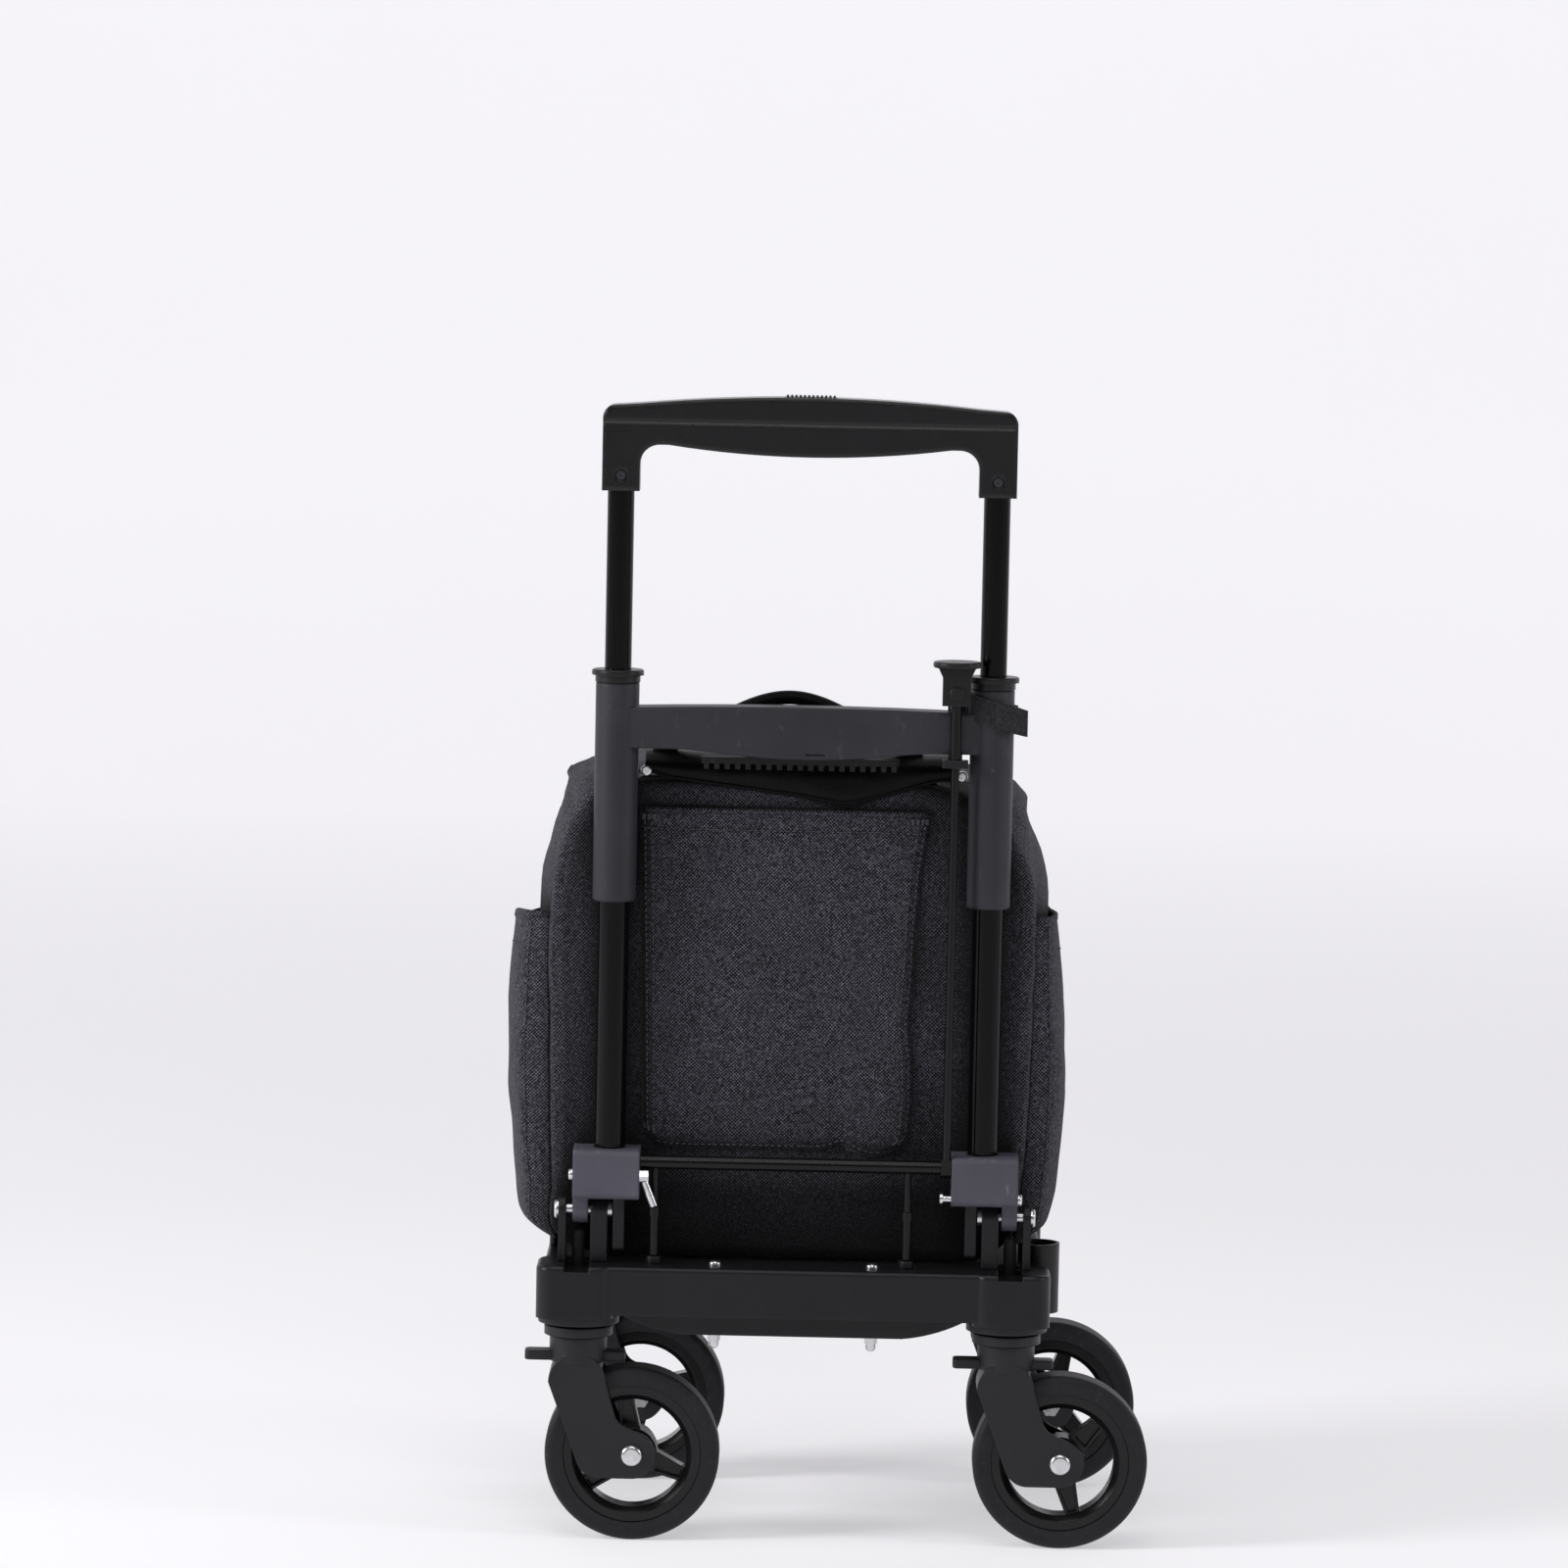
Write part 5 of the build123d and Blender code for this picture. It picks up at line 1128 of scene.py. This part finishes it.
# ---------------------------------------------------------------- floor and light
def backdrop():
    s = Shade("backdrop")
    tone = s.ramp(s.noise(2.0, 2), [(0.3, (0.56, 0.555, 0.57)), (0.7, (0.57, 0.565, 0.58))])
    s.finish(tone, 0.9, None, Specular_IOR_Level=0.1, Emission_Color=(1.0, 0.985, 1.02, 1))
    away = s.tree.nodes.new("ShaderNodeVectorMath")
    away.operation = "LENGTH"
    s.link(s.object, away.inputs[0])
    rise_share = s.math("MULTIPLY_ADD", away.outputs["Value"], 0.2, -0.3, clamp=True)
    s.link(s.math("MULTIPLY_ADD", rise_share, 0.24, 0.45), s.shader.inputs["Emission Strength"])
    width, near, far, rise, bend = 40.0, -20.0, 7.5, 9.0, 2.5
    profile = [(near, 0.0), (far - bend, 0.0)]
    for a in np.linspace(0, 90, 14)[1:]:
        profile.append((far - bend + bend * math.sin(math.radians(a)), bend - bend * math.cos(math.radians(a))))
    profile.append((far, rise))
    verts = [(x, y, z) for y, z in profile for x in np.linspace(-width / 2, width / 2, 7)]
    sweep = mesh_object("backdrop", verts, grid_faces(6, len(profile) - 1), s.material)


def area_light(name, place, target, size, power, colour=(1, 1, 1)):
    data = bpy.data.lights.new(name, "AREA")
    data.shape = "RECTANGLE"
    data.size, data.size_y = size
    data.energy = power
    data.color = colour
    lamp = bpy.data.objects.new(name, data)
    bpy.context.scene.collection.objects.link(lamp)
    lamp.location = place
    lamp.rotation_euler = (Vector(target) - Vector(place)).to_track_quat("-Z", "Y").to_euler()


def lighting():
    world = bpy.data.worlds.new("studio")
    bpy.context.scene.world = world
    world.use_nodes = True
    world.node_tree.nodes["Background"].inputs["Color"].default_value = (0.98, 0.98, 1.0, 1)
    tree = world.node_tree
    ray = tree.nodes.new("ShaderNodeLightPath")
    level = tree.nodes.new("ShaderNodeMath")
    level.operation = "MULTIPLY_ADD"
    level.inputs[1].default_value = 0.83
    level.inputs[2].default_value = 0.07
    tree.links.new(ray.outputs["Is Camera Ray"], level.inputs[0])
    tree.links.new(level.outputs[0], tree.nodes["Background"].inputs["Strength"])
    area_light("key", (-3.4, -1.3, 2.0), (0, 0, 0.35), (1.0, 1.7), 102)
    area_light("fill", (3.4, -1.2, 1.7), (0, 0, 0.35), (0.8, 1.6), 32)
    area_light("strip", (0.2, -3.0, 3.3), (0, 0, 0.45), (2.4, 0.45), 26)
    area_light("top", (-0.3, -0.6, 3.4), (0, 0, 0), (1.8, 1.8), 24)


backdrop()
lighting()
bpy.context.scene.view_settings.view_transform = "Standard"
